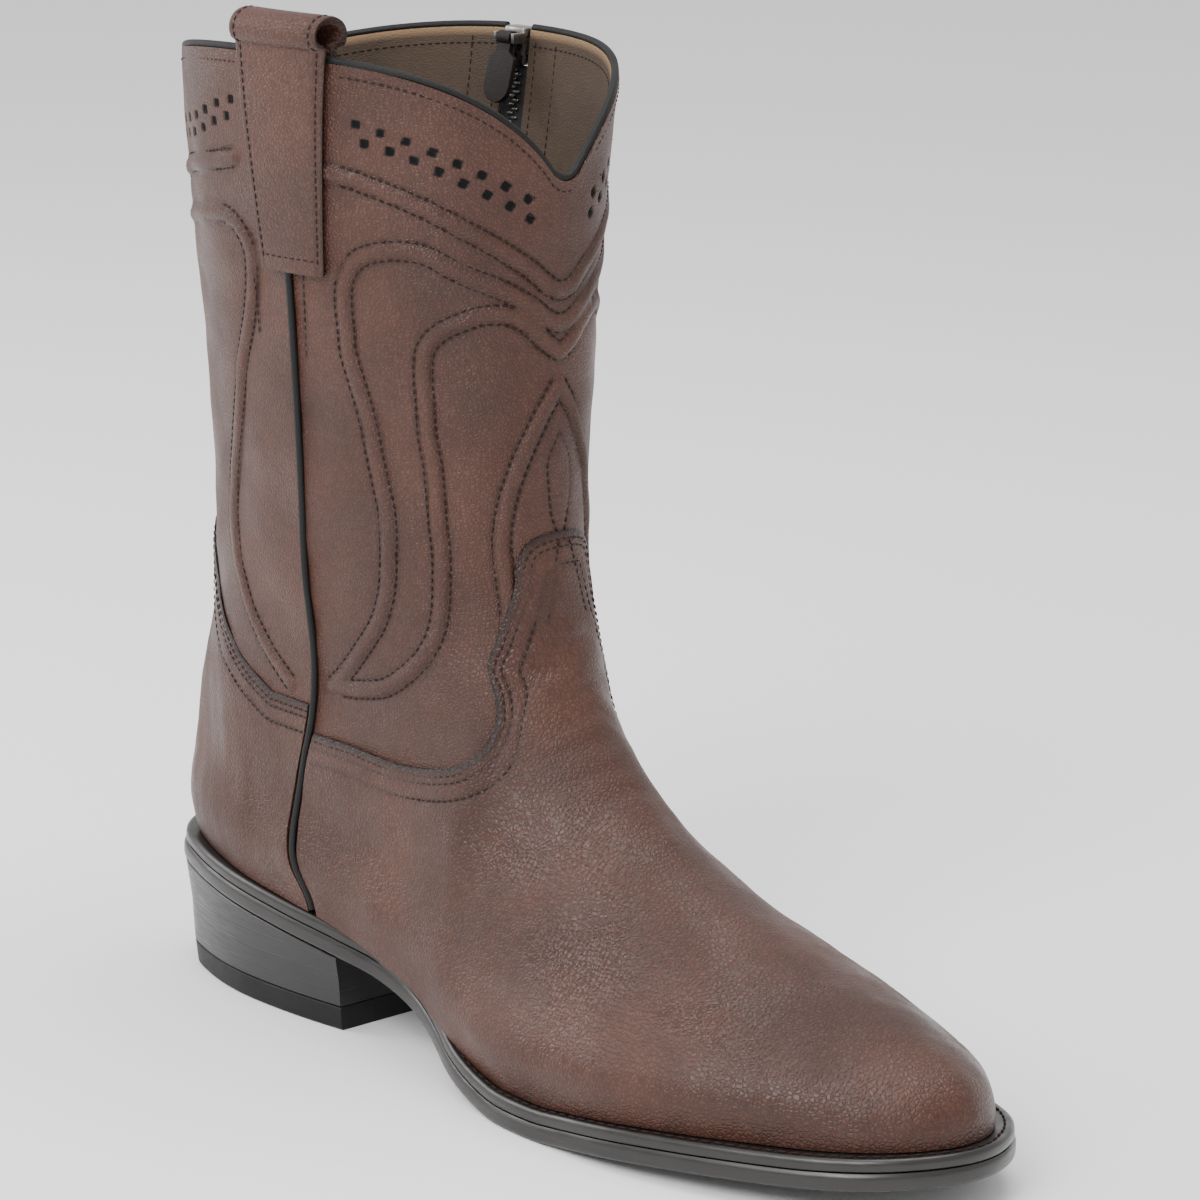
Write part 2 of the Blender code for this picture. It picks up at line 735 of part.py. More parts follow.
def outline_ring(inset, rise):
    """The sole's outline moved in by inset, at underside plus rise."""
    share = (1 - np.cos(THETAS)) / 2
    side = np.where(THETAS < math.pi, LATERAL, MEDIAL)
    flat_x = SOLE_LENGTH * share
    x = inset + (SOLE_LENGTH - 2 * inset) * share
    half = sole_half(flat_x, side)
    narrow = inset * np.clip(half / (0.12 * BALL_WIDTH), 0, 1)
    return np.stack([x, side * (half - narrow), underside_z(x) + rise], -1)


def make_sole(shop):
    top = SOLE_THICKNESS
    rings = [
        outline_ring(EDGE_ROUND, 0.0),
        outline_ring(0.0, EDGE_ROUND),
        outline_ring(0.0, top - EDGE_ROUND / 2),
        outline_ring(EDGE_ROUND / 2, top),
    ]
    shop.place("outsole", slab("outsole", rings), shop.sole)


def feather_ring(offset):
    """The upper's lowest ring in plan, moved out by offset."""
    return skin(THETAS, 0.0, offset)[:, :2]


def ring_at(plan, height):
    return np.column_stack([plan, height(plan[:, 0])])


def make_welt(shop):
    inner = feather_ring(-WALL)
    outer_low = outline_ring(WELT_INSET, 0.0)[:, :2]
    outer_top = outline_ring(WELT_INSET + EDGE_ROUND / 2, 0.0)[:, :2]
    mid = WELT_THICKNESS - EDGE_ROUND / 2
    rings = [
        ring_at(inner, welt_z),
        ring_at(outer_low, welt_z),
        ring_at(outer_low, lambda x: welt_z(x) + mid),
        ring_at(outer_top, lambda x: welt_z(x) + WELT_THICKNESS),
        ring_at(inner, lambda x: welt_z(x) + WELT_THICKNESS),
    ]
    shop.place("welt", hoop("welt", rings), shop.sole)


def make_insole(shop):
    plan = feather_ring(-WALL - 2 * CLEAR)
    rings = [
        ring_at(plan, lambda x: welt_z(x) + CLEAR),
        ring_at(plan, lambda x: welt_z(x) + INSOLE_THICKNESS),
    ]
    shop.place("insole", slab("insole", rings), shop.lining)


def heel_ring(inset, height):
    """The heel's outline moved in by inset: round behind and straight across the breast."""
    turns = np.linspace(-math.pi / 2, math.pi / 2, 24)
    along = 1 - np.cos(turns)
    side = np.where(turns < 0, LATERAL, MEDIAL)
    half = sole_half(HEEL_BREAST * along, side)
    narrow = inset * np.clip(half / (0.12 * BALL_WIDTH), 0, 1)
    x = inset + (HEEL_BREAST - inset) * along
    plan = np.column_stack([x, side * (half - narrow)])
    return ring_at(plan, height)


def make_heel(shop):
    split = HEEL_CAP / HEEL_LIFT
    cap_inset = HEEL_TAPER * (1 - split)
    cap = [heel_ring(HEEL_TAPER, lambda x: 0 * x), heel_ring(cap_inset, lambda x: 0 * x + HEEL_CAP)]
    seat = WELT_INSET
    waist = HEEL_WAIST * cap_inset + (1 - HEEL_WAIST) * seat
    stack = [
        heel_ring(cap_inset, lambda x: 0 * x + HEEL_CAP + CLEAR),
        heel_ring(waist, lambda x: (HEEL_CAP + underside_z(x)) / 2),
        heel_ring(seat, lambda x: underside_z(x) - CLEAR),
    ]
    shop.place("heel_cap", slab("heel_cap", cap), shop.rubber)
    shop.place("heel_stack", slab("heel_stack", stack), shop.sole)


def make_zip(shop):
    """Tape and chain in the slot, the slider over them, and the pull on the slider's bar."""
    top = BOOT_HEIGHT - SLIDER_DROP
    low = top - SLIDER_LENGTH
    half = SLOT_WIDTH / 2 - SLOT_CLEAR
    chain = CHAIN_WIDTH / 2
    across = np.array([-half, -chain - 0.0003, -chain, chain, chain + 0.0003, half])
    proud = np.array([0, 0, 1, 1, 0, 0]) * (CHAIN_PROUD + (WALL - TAPE_THICKNESS) / 2)
    heights = np.linspace(ZIP_BOTTOM + SLOT_CLEAR, low - CLEAR, 10)
    depth = (WALL - TAPE_THICKNESS) / 2
    outer = [side_point(ZIP_X + across, z, MEDIAL, proud - depth) for z in heights]
    inner = [side_point(ZIP_X + across, z, MEDIAL, -proud - WALL + depth) for z in heights]
    shop.place("zip_tape", block("zip_tape", outer, inner), shop.tape)
    middle = side_point(ZIP_X, (low + top) / 2, MEDIAL, -WALL / 2)
    inner_face = float(middle[1]) - SLIDER_DEPTH / 2
    bar_y = inner_face - BAR_STANDOFF
    bar_z = top - BAR_DROP
    make_slider(shop, middle, inner_face, bar_y, bar_z)
    make_pull(shop, bar_y, bar_z)


def box_mesh(name, low, high, bevel=0.0):
    low, high = Vector(low), Vector(high)

    def build(bm):
        place = Matrix.Translation((low + high) / 2) @ Matrix.Diagonal((*(high - low), 1))
        bmesh.ops.create_cube(bm, size=1, matrix=place)
        if bevel:
            bmesh.ops.bevel(bm, geom=bm.edges, offset=bevel, segments=2, profile=0.5, affect="EDGES")

    return mesh_of(name, build)


def rod_mesh(name, centre, radius, length, sides=14):
    """A rod along X."""

    def build(bm):
        turn = Matrix.Translation(centre) @ Matrix.Rotation(math.pi / 2, 4, "Y")
        bmesh.ops.create_cone(
            bm, cap_ends=True, segments=sides, radius1=radius, radius2=radius, depth=length, matrix=turn
        )

    return mesh_of(name, build)


def make_slider(shop, middle, inner_face, bar_y, bar_z):
    half = SLOT_WIDTH / 2 - SLOT_CLEAR
    long = SLIDER_LENGTH / 2
    deep = SLIDER_DEPTH / 2
    x, y, z = middle
    low, high = (x - half, y - deep, z - long), (x + half, y + deep, z + long)
    body = box_mesh("zip_slider", low, high, METAL_ROUND)
    slider = shop.place("zip_slider", body, shop.metal, 0)
    reach = BAR_RADIUS + EYE_WALL
    ear_in = half - EAR_THICKNESS
    for name, low, high in (("ear_back", -half, -ear_in), ("ear_front", ear_in, half)):
        ear_low = (x + low, bar_y - reach, bar_z - reach)
        ear_high = (x + high, inner_face + METAL_ROUND, bar_z + reach)
        ear = box_mesh(name, ear_low, ear_high)
        boolean(slider, shop.cutter(name, ear), "UNION")
    bar = rod_mesh("zip_bar", (x, bar_y, bar_z), BAR_RADIUS, 2 * half - EAR_THICKNESS)
    boolean(slider, shop.cutter("zip_bar", bar), "UNION")
    return slider


def make_pull(shop, bar_y, bar_z):
    """The tab, modelled upright below its eye at the origin of its own object, then tilted on the bar."""
    eye_inner = BAR_RADIUS + EYE_CLEAR
    eye_outer = eye_inner + EYE_WALL
    eye_half = SLOT_WIDTH / 2 - SLOT_CLEAR - EAR_THICKNESS - EYE_CLEAR
    half = PULL_WIDTH / 2
    thick = PULL_THICKNESS / 2
    top = eye_outer + PULL_NECK

    def tab(bm):
        shoulder = [(-eye_half, -eye_inner - EYE_WALL / 2), (-eye_half, -top), (-half, -top - PULL_NECK)]
        turns = np.linspace(math.pi, 1.5 * math.pi, 6)
        low = half - PULL_LENGTH
        foot = [(half * math.cos(t), low + half * math.sin(t)) for t in turns]
        left = shoulder + foot
        right = [(-x, z) for x, z in left[::-1][1:]]
        face = bm.faces.new([bm.verts.new((x, -thick, z)) for x, z in left + right])
        grown = bmesh.ops.extrude_face_region(bm, geom=[face])
        moved = [v for v in grown["geom"] if isinstance(v, bmesh.types.BMVert)]
        bmesh.ops.translate(bm, verts=moved, vec=(0, 2 * thick, 0))

    pull = shop.place("zip_pull", mesh_of("zip_pull", tab), shop.dark, 0)
    eye = shop.cutter("pull_eye", rod_mesh("pull_eye", (0, 0, 0), eye_outer, 2 * eye_half, 16))
    hole = shop.cutter("pull_hole", rod_mesh("pull_hole", (0, 0, 0), eye_inner, 4 * eye_half, 16))
    boolean(pull, eye, "UNION")
    boolean(pull, hole, "DIFFERENCE")
    for piece in (pull, eye, hole):
        piece.location = (ZIP_X, bar_y, bar_z)
        piece.rotation_euler = (-PULL_TILT, 0, 0)


def main():
    shop = Workshop()
    make_upper(shop)
    make_overlays(shop)
    make_piping(shop)
    make_strap(shop)
    make_sole(shop)
    make_welt(shop)
    make_insole(shop)
    make_heel(shop)
    make_zip(shop)


main()
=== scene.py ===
import math

import bpy
import numpy as np
from mathutils import Matrix, Vector
from mathutils.kdtree import KDTree


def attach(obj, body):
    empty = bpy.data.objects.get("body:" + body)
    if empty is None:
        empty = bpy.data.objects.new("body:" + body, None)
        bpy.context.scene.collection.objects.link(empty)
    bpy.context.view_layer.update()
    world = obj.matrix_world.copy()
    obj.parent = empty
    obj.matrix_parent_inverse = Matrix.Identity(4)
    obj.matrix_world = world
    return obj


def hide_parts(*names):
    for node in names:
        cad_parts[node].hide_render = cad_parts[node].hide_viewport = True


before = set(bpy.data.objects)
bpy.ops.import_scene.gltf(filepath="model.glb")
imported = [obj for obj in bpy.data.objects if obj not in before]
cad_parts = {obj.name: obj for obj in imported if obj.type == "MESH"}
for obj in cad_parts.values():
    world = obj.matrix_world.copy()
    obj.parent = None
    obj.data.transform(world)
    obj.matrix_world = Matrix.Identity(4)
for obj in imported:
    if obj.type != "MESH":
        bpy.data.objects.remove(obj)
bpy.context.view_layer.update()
print("frame loaded")

# Form of the boot: sizes in metres, laid out from the back of the sole

boot = {
    "soleLength": 0.304,
    "ballWidth": 0.103,
    "height": 0.283,
    "ankle": 0.130,
    "heelLift": 0.034,
    "toeSpring": 0.0105,
    "shaftWidth": 0.103,
    "frontDip": 0.036,
    "backDip": 0.016,
    "wall": 0.0024,
    "overlay": 0.0011,
    "gap": 0.0003,
    "soleThickness": 0.0050,
    "weltThickness": 0.0035,
    "heelBreast": 0.089,
    "pipingRadius": 0.0011,
    "pipingSeat": 0.0008,
    "throat": 0.142,  # where the line of the instep turns up into the shaft
    "nose": 0.105,  # half angle drawn on evenly at the middle of the front and of the back
}
zipper = {"x": 0.0660, "bottom": 0.0940, "slot": 0.0092, "chain": 0.0042, "slider": 0.0110, "drop": 0.0022}
lateral = -1.0
medial = 1.0
turn = 2 * math.pi


def table(names, rows):
    return dict(zip(names.split(), np.array(rows, float).T))


soleTable = table("along lateral medial ledge", (
    (0.000, 0.000, 0.000, 0.0034), (0.030, 0.205, 0.195, 0.0034), (0.075, 0.275, 0.275, 0.0034),
    (0.135, 0.322, 0.318, 0.0032), (0.215, 0.335, 0.320, 0.0028), (0.293, 0.320, 0.268, 0.0006),
    (0.345, 0.300, 0.240, -0.0025), (0.395, 0.310, 0.230, -0.0024), (0.440, 0.355, 0.255, -0.0004),
    (0.485, 0.418, 0.310, 0.0032), (0.530, 0.458, 0.352, 0.0046), (0.580, 0.492, 0.402, 0.0052),
    (0.645, 0.502, 0.455, 0.0050), (0.712, 0.500, 0.492, 0.0054), (0.787, 0.455, 0.478, 0.0056),
    (0.852, 0.396, 0.428, 0.0058), (0.908, 0.332, 0.355, 0.0058), (0.951, 0.258, 0.274, 0.0054),
    (0.978, 0.176, 0.188, 0.0050), (1.000, 0.000, 0.000, 0.0048),
))
undersideTable = table("along lift spring", (
    (0.000, 1.000, 0.00), (0.100, 0.895, 0.00), (0.215, 0.765, 0.00), (0.293, 0.665, 0.00),
    (0.330, 0.600, 0.00), (0.370, 0.500, 0.00), (0.410, 0.385, 0.00), (0.445, 0.265, 0.00),
    (0.485, 0.140, 0.00), (0.525, 0.045, 0.00), (0.560, 0.000, 0.00), (0.620, 0.000, 0.00),
    (0.660, 0.000, 0.12), (0.720, 0.000, 0.30), (0.800, 0.000, 0.47), (0.890, 0.000, 0.65),
    (1.000, 0.000, 1.00),
))
profileTable = table("height front back half", (
    (0.140, 0.984, 0.030, 0.280), (0.205, 0.981, 0.029, 0.285), (0.250, 0.967, 0.024, 0.290),
    (0.292, 0.937, 0.019, 0.300), (0.330, 0.892, 0.013, 0.305), (0.372, 0.828, 0.008, 0.310),
    (0.424, 0.754, 0.004, 0.312), (0.492, 0.678, 0.001, 0.314), (0.585, 0.607, 0.001, 0.318),
    (0.710, 0.546, 0.009, 0.326), (0.850, 0.503, 0.021, 0.336), (1.000, 0.477, 0.029, 0.350),
    (1.150, 0.464, 0.031, 0.370), (1.320, 0.458, 0.028, 0.400), (1.500, 0.455, 0.023, 0.436),
    (1.700, 0.456, 0.016, 0.482), (1.880, 0.459, 0.010, 0.516), (2.080, 0.462, 0.006, 0.536),
))
ringTable = table("level front back", (
    (0.00, 0.000, 0.000), (0.04, 0.041, 0.052), (0.09, 0.106, 0.112), (0.15, 0.188, 0.186),
    (0.22, 0.288, 0.298), (0.30, 0.412, 0.433), (0.38, 0.553, 0.589), (0.46, 0.706, 0.761),
    (0.54, 0.882, 0.940), (0.60, 1.020, 1.060), (1.00, 1.760, 1.920),
))
seamTable = table("height along", (
    (0.100, 0.262), (0.140, 0.256), (0.165, 0.243), (0.200, 0.234), (0.265, 0.238), (0.320, 0.251),
    (0.520, 0.256), (0.780, 0.263), (1.060, 0.272),
))
vampEdgeTable = table("along height", (
    (0.299, 0.304), (0.376, 0.301), (0.440, 0.313), (0.464, 0.332), (0.469, 0.357), (0.462, 0.384),
    (0.449, 0.408), (0.450, 0.436), (0.453, 0.480), (0.453, 0.518), (0.461, 0.537), (0.480, 0.545),
))
counterEdgeTable = table("along height", (
    (0.190, 0.333), (0.135, 0.360), (0.095, 0.397), (0.073, 0.440), (0.050, 0.478), (0.000, 0.500),
))


def curve(rows, name, at):  # smooth line through a table
    xs = rows[next(iter(rows))]
    ys = rows[name]
    slope = np.gradient(ys, xs)
    step = np.diff(xs)
    at = np.clip(np.asarray(at, float), xs[0], xs[-1])
    i = np.clip(np.searchsorted(xs, at, side="right") - 1, 0, len(step) - 1)
    t = (at - xs[i]) / step[i]
    ends = (1 + 2 * t) * (1 - t) ** 2 * ys[i] + t * t * (3 - 2 * t) * ys[i + 1]
    return ends + t * (1 - t) * step[i] * ((1 - t) * slope[i] - t * slope[i + 1])


def smooth(low, high, value):
    t = np.clip((np.asarray(value, float) - low) / (high - low), 0, 1)
    return t * t * (3 - 2 * t)


roundEnds = {
    "along": soleTable["along"],
    "lateral": soleTable["lateral"] ** 2,
    "medial": soleTable["medial"] ** 2,
}


def soleHalf(x, side, ledge=0.0):
    first = soleTable["ledge"][0] * ledge
    last = soleTable["ledge"][-1] * ledge
    along = (np.asarray(x, float) - first) / (boot["soleLength"] - first - last)
    outer = np.sqrt(np.maximum(curve(roundEnds, "lateral", along), 0))
    inner = np.sqrt(np.maximum(curve(roundEnds, "medial", along), 0))
    half = boot["ballWidth"] * np.where(np.asarray(side) < 0, outer, inner)
    narrow = np.minimum(ledge * curve(soleTable, "ledge", along), 0.2 * half)
    return np.where((along > 0) & (along < 1), half - narrow, 0.0)


def undersideZ(x):
    along = np.asarray(x, float) / boot["soleLength"]
    lift = boot["heelLift"] * curve(undersideTable, "lift", along)
    return np.maximum(lift + boot["toeSpring"] * curve(undersideTable, "spring", along), 0)


def weltZ(x):
    return undersideZ(x) + boot["soleThickness"] + boot["gap"]


def featherZ(x):
    return weltZ(x) + boot["weltThickness"] + boot["gap"]


def heightShare(z):
    z = np.asarray(z, float)
    above = 1 + (z - boot["ankle"]) / (boot["height"] - boot["ankle"])
    return np.where(z < boot["ankle"], z / boot["ankle"], above)


def frontX(z):
    return boot["soleLength"] * curve(profileTable, "front", heightShare(z))


def backX(z):
    return boot["soleLength"] * curve(profileTable, "back", heightShare(z))


frontHeights = np.linspace(profileTable["height"][0] * boot["ankle"], boot["height"], 1500)
frontLine = frontX(frontHeights)
frontLast = int(np.argmin(frontLine))


def instepZ(x):
    rising, heights = frontLine[: frontLast + 1][::-1], frontHeights[: frontLast + 1][::-1]
    line = 1 / np.interp(np.maximum(x, boot["throat"]), rising, heights)
    line = line - 290 * np.clip(boot["throat"] - x, 0, 0.017)  # goes on at its slope, as one over the height
    least = 1 / (2 * boot["height"])
    return 1 / (least + (line - least) * smooth(boot["throat"] - 0.012, boot["throat"] + 0.004, x))


def halfY(x, z, side):  # the last below, an oval shaft above
    along = np.clip((x - backX(z)) / (frontX(z) - backX(z)), 0, 1)
    low = featherZ(x)
    up = np.clip((z - low) / np.maximum(instepZ(x) - low, 1e-6), 0, 1)
    arch = (1 - up**2.2) ** (1 / 1.75)
    bulge = 1 + 0.11 * np.exp(-(((z - low - 0.014) / 0.012) ** 2))
    heelEnd = (backX(z) - soleTable["ledge"][0]) * (1 - along) ** 3
    toeLedge = (profileTable["front"][0] - 1) * boot["soleLength"] + soleTable["ledge"][-1]
    toeEnd = toeLedge * along**3
    foot = soleHalf(x - heelEnd - toeEnd, side, 1.0) * arch * bulge
    oval = np.clip(1 - np.abs(2 * along - 1) ** 2.1, 0, 1) ** (1 / 1.9)
    leg = boot["shaftWidth"] * curve(profileTable, "half", heightShare(z)) * oval
    blend = smooth(0.38 * boot["ankle"], 1.04 * boot["ankle"], z)
    closing = np.clip(np.minimum(along, 1 - along) / 0.002, 0, 1)
    return side * closing * (foot * (1 - blend) + leg * blend)


def collarZ(theta):
    away = np.abs((np.asarray(theta, float) + math.pi) % turn - math.pi)
    front = np.clip(1 - (math.pi - away) / (math.pi / 2), 0, 1) ** 3.1
    back = np.clip(1 - away / (math.pi / 2), 0, 1) ** 1.8
    return boot["height"] - boot["frontDip"] * front - boot["backDip"] * back


def risen(rise, low):
    leg = boot["ankle"] + (rise - 1) * (boot["height"] - boot["ankle"])
    return np.where(rise < 1, low + (boot["ankle"] - low) * rise, leg)


def ring(theta, level):  # theta 0 behind, a quarter turn outside; level 0 at the welt, 1 at the collar
    theta, level = np.broadcast_arrays(np.asarray(theta, float), np.asarray(level, float))
    share = (1 - np.cos(theta)) / 2
    side = np.where(theta % turn < math.pi, lateral, medial)
    toeLow = featherZ(0.98 * boot["soleLength"])
    heelLow = featherZ(0.02 * boot["soleLength"])
    front = risen(curve(ringTable, "front", level), toeLow)
    back = risen(curve(ringTable, "back", level), heelLow)
    plainTop = risen(ringTable["back"][-1] + (ringTable["front"][-1] - ringTable["back"][-1]) * share, 0)
    toCollar = (collarZ(theta) - plainTop) * smooth(0.6, 1.0, level)
    straight = heelLow + (toeLow - heelLow) * share
    x = backX(back) + (frontX(front) - backX(back)) * share
    for _ in range(3):
        follow = (featherZ(x) - straight) * (1 - np.clip(level / 0.5, 0, 1)) ** 2
        z = back + (front - back) * share + toCollar + follow
        x = backX(z) + (frontX(z) - backX(z)) * share
    return np.stack([x, halfY(x, z, side), z], -1)


def surface(theta, level):  # the rings, drawn on evenly across the middle of the back and of the front
    theta, level = np.broadcast_arrays(np.asarray(theta, float), np.asarray(level, float))
    places = ring(theta, level)
    for middle in (0.0, math.pi):
        off = ((theta - middle + math.pi) % turn - math.pi) / boot["nose"]
        near = np.abs(off) < 1
        if not near.any():
            continue
        at = off[near][:, None]
        ends = (-2, -1, 1, 2)
        total = 0
        for k in ends:
            weight = 1
            for other in ends:
                if other != k:
                    weight = weight * (at - other) / (k - other)
            total = total + weight * ring(np.full(len(at), middle + k * boot["nose"]), level[near])
        places[near] = total
    return places


def unit(vectors):
    return vectors / np.maximum(np.linalg.norm(vectors, axis=-1, keepdims=True), 1e-12)


def skinFrame(theta, level):  # point, normal, and the way along theta and along level
    theta, level = np.broadcast_arrays(np.asarray(theta, float), np.asarray(level, float))
    swing, climb = 0.03, 0.001
    around = (surface(theta + swing, level) - surface(theta - swing, level)) / (2 * swing)
    above = np.minimum(level + climb, 1)
    below = np.maximum(level - climb, 0)
    upward = (surface(theta, above) - surface(theta, below)) / (above - below)[..., None]
    normal = unit(np.cross(around, upward))
    under = (boot["overlay"] + boot["gap"]) * (1 - smooth(0.45, 0.62, level))
    return surface(theta, level) - normal * under[..., None], normal, around, upward


def skin(theta, level, offset=0.0):
    point, normal, _, _ = skinFrame(theta, level)
    return point + normal * np.broadcast_to(np.asarray(offset, float), point.shape[:-1])[..., None]


def onSkin(path):
    return skin(path[:, 0], path[:, 1])


def sidePoint(x, z, side, offset=0.0):
    x, z, side, offset = np.broadcast_arrays(*(np.asarray(v, float) for v in (x, z, side, offset)))
    small = 2e-4
    slopeX = (halfY(x + small, z, side) - halfY(x - small, z, side)) / (2 * small)
    slopeZ = (halfY(x, z + small, side) - halfY(x, z - small, side)) / (2 * small)
    normal = unit(np.stack([-side * slopeX, side, -side * slopeZ], -1))
    under = (boot["overlay"] + boot["gap"]) * (1 - smooth(0.80 * boot["ankle"], 1.05 * boot["ankle"], z))
    return np.stack([x, halfY(x, z, side), z], -1) + normal * (offset - under)[..., None]


def seamX(z):
    return boot["soleLength"] * curve(seamTable, "along", np.asarray(z, float) / boot["height"])


strapX = float(seamX(boot["height"]))
seamShift = {lateral: 0.0, medial: zipper["x"] - float(seamX(zipper["bottom"]))}


def levelUnderCollar(drop):
    near = 0.98
    rise = surface(math.pi / 2, 1.0)[2] - surface(math.pi / 2, near)[2]
    return 1 - drop * (1 - near) / float(rise)


rimLevel = levelUnderCollar(2 * boot["pipingRadius"] + boot["pipingSeat"])


def thetaAt(x, z, side):
    share = np.clip((x - backX(z)) / (frontX(z) - backX(z)), 0, 1)
    theta = np.arccos(1 - 2 * share)
    return theta if side < 0 else turn - theta


def levelAt(theta, z):
    low = np.zeros_like(theta)
    high = np.ones_like(theta)
    for _ in range(22):
        middle = (low + high) / 2
        over = surface(theta, middle)[..., 2] > z
        high = np.where(over, middle, high)
        low = np.where(over, low, middle)
    return (low + high) / 2


def borderTheta(levels, side, lineX):  # where a line of the side view crosses each level
    theta = np.full(levels.shape, math.pi / 2 if side < 0 else 1.5 * math.pi)
    for _ in range(10):
        z = surface(theta, levels)[..., 2]
        theta = 0.4 * theta + 0.6 * thetaAt(lineX(z), z, side)
    return theta


def toFrame(points):
    return np.asarray(points) - np.array([boot["heelBreast"] / 2, 0, 0])


# Hand work on the meshes

def activate(piece):
    bpy.ops.object.select_all(action="DESELECT")
    piece.select_set(True)
    bpy.context.view_layer.objects.active = piece


def applyAll(piece):
    activate(piece)
    for modifier in list(piece.modifiers):
        bpy.ops.object.modifier_apply(modifier=modifier.name)


def weld(piece, distance=1e-6):
    activate(piece)
    bpy.ops.object.mode_set(mode="EDIT")
    bpy.ops.mesh.select_all(action="SELECT")
    bpy.ops.mesh.remove_doubles(threshold=distance)
    bpy.ops.object.mode_set(mode="OBJECT")


def gridPiece(name, points, marks=None):  # a grid primitive laid on rows and columns of points
    rows, columns = points.shape[:2]
    bpy.ops.object.select_all(action="DESELECT")
    bpy.ops.mesh.primitive_grid_add(x_subdivisions=columns - 1, y_subdivisions=rows - 1, size=1)
    piece = bpy.context.object
    piece.name = piece.data.name = name
    count = len(piece.data.vertices)
    flat = np.empty(count * 3)
    piece.data.vertices.foreach_get("co", flat)
    flat = flat.reshape(-1, 3)
    column = np.rint((flat[:, 0] + 0.5) * (columns - 1)).astype(int)
    row = np.rint((flat[:, 1] + 0.5) * (rows - 1)).astype(int)
    piece.data.vertices.foreach_set("co", toFrame(points)[row, column].ravel())
    for mark, values in (marks or {}).items():
        layer = piece.data.attributes.new(mark, "FLOAT", "POINT")
        layer.data.foreach_set("value", values[row, column].astype(np.float32))
    piece.data.update()
    return piece


def soften(piece, width, segments, degrees):
    soft = piece.modifiers.new("soft", "BEVEL")
    soft.width = width
    soft.segments = segments
    soft.limit_method = "ANGLE"
    soft.angle_limit = math.radians(degrees)


def thicken(piece, thickness, bevel=0.0):
    wall = piece.modifiers.new("wall", "SOLIDIFY")
    wall.thickness = thickness
    wall.offset = -1
    if bevel:
        soften(piece, bevel, 2, 55)
    applyAll(piece)


def meshPiece(name, points, faces):
    mesh = bpy.data.meshes.new(name)
    mesh.from_pydata(toFrame(points).tolist(), [], faces)
    piece = bpy.data.objects.new(name, mesh)
    bpy.context.scene.collection.objects.link(piece)
    return piece


def shapeOf(piece):  # its points and faces, to be set down many times; the piece itself goes
    points = np.array([vertex.co for vertex in piece.data.vertices])
    faces = [tuple(face.vertices) for face in piece.data.polygons]
    bpy.data.objects.remove(piece, do_unlink=True)
    return points, faces


def facesOf(faces, each, count):  # the same faces for that many copies of a shape
    return [tuple(each * k + i for i in face) for k in range(count) for face in faces]


def finishPiece(piece, material, replaces=(), body="boot", degrees=40):
    piece.data.materials.clear()
    piece.data.materials.append(material)
    activate(piece)
    bpy.ops.object.shade_smooth_by_angle(angle=math.radians(degrees))
    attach(piece, body)
    if replaces:
        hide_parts(*replaces)
    print("made", piece.name, len(piece.data.polygons))


def beadPiece(name, points, radius):  # a round bead along a line
    line = bpy.data.curves.new(name, "CURVE")
    line.dimensions = "3D"
    line.bevel_depth = radius
    line.bevel_resolution = 4
    line.use_fill_caps = True
    spline = line.splines.new("POLY")
    spline.points.add(len(points) - 1)
    for place, point in zip(spline.points, toFrame(points)):
        place.co = (*point, 1)
    piece = bpy.data.objects.new(name, line)
    bpy.context.scene.collection.objects.link(piece)
    activate(piece)
    bpy.ops.object.convert(target="MESH")
    piece = bpy.context.object
    piece.name = name
    weld(piece)
    return piece


def runOf(points):  # length along a line, up to each of its points
    return np.concatenate([[0], np.cumsum(np.linalg.norm(np.diff(points, axis=0), axis=1))])


def valuesAt(at, run, values):
    return np.stack([np.interp(at, run, values[:, k]) for k in range(values.shape[1])], -1)


def resample(values, points, count):  # values evenly spread along the line of points
    run = runOf(points)
    return valuesAt(np.linspace(0, run[-1], count), run, values)


def ripple(points, size, seed, waves=7):  # gentle unevenness, about -1 to 1
    pick = np.random.default_rng(seed)
    total = np.zeros(points.shape[:-1])
    for _ in range(waves):
        way = unit(pick.normal(size=3)) * (turn / (size * pick.uniform(0.7, 1.5)))
        total = total + np.sin(points @ way + pick.uniform(0, turn))
    return total / math.sqrt(waves)


# Materials

def newGroup(name, inputs, outputs):
    group = bpy.data.node_groups.new(name, "ShaderNodeTree")
    for label, kind, value in inputs:
        socket = group.interface.new_socket(name=label, in_out="INPUT", socket_type=kind)
        if value is not None:
            socket.default_value = value
    for label, kind in outputs:
        group.interface.new_socket(name=label, in_out="OUTPUT", socket_type=kind)
    return group, group.nodes.new("NodeGroupInput"), group.nodes.new("NodeGroupOutput")


def node(tree, kind, links=None, **settings):
    made = tree.nodes.new(kind)
    for key, value in settings.items():
        setattr(made, key, value)
    for key, value in (links or {}).items():
        socket = made.inputs[key]
        if isinstance(value, bpy.types.NodeSocket):
            tree.links.new(value, socket)
        else:
            socket.default_value = value
    return made


def mathNode(tree, operation, a, b=0.0):
    return node(tree, "ShaderNodeMath", {0: a, 1: b}, operation=operation).outputs[0]


def blendColor(tree, factor, first, second):
    return node(tree, "ShaderNodeMix", {0: factor, 6: first, 7: second}, data_type="RGBA").outputs[2]


def rangeNode(tree, value, low, high, toLow=0.0, toHigh=1.0):
    made = node(tree, "ShaderNodeMapRange", {0: value, 1: low, 2: high, 3: toLow, 4: toHigh})
    made.interpolation_type = "SMOOTHSTEP"
    return made.outputs[0]


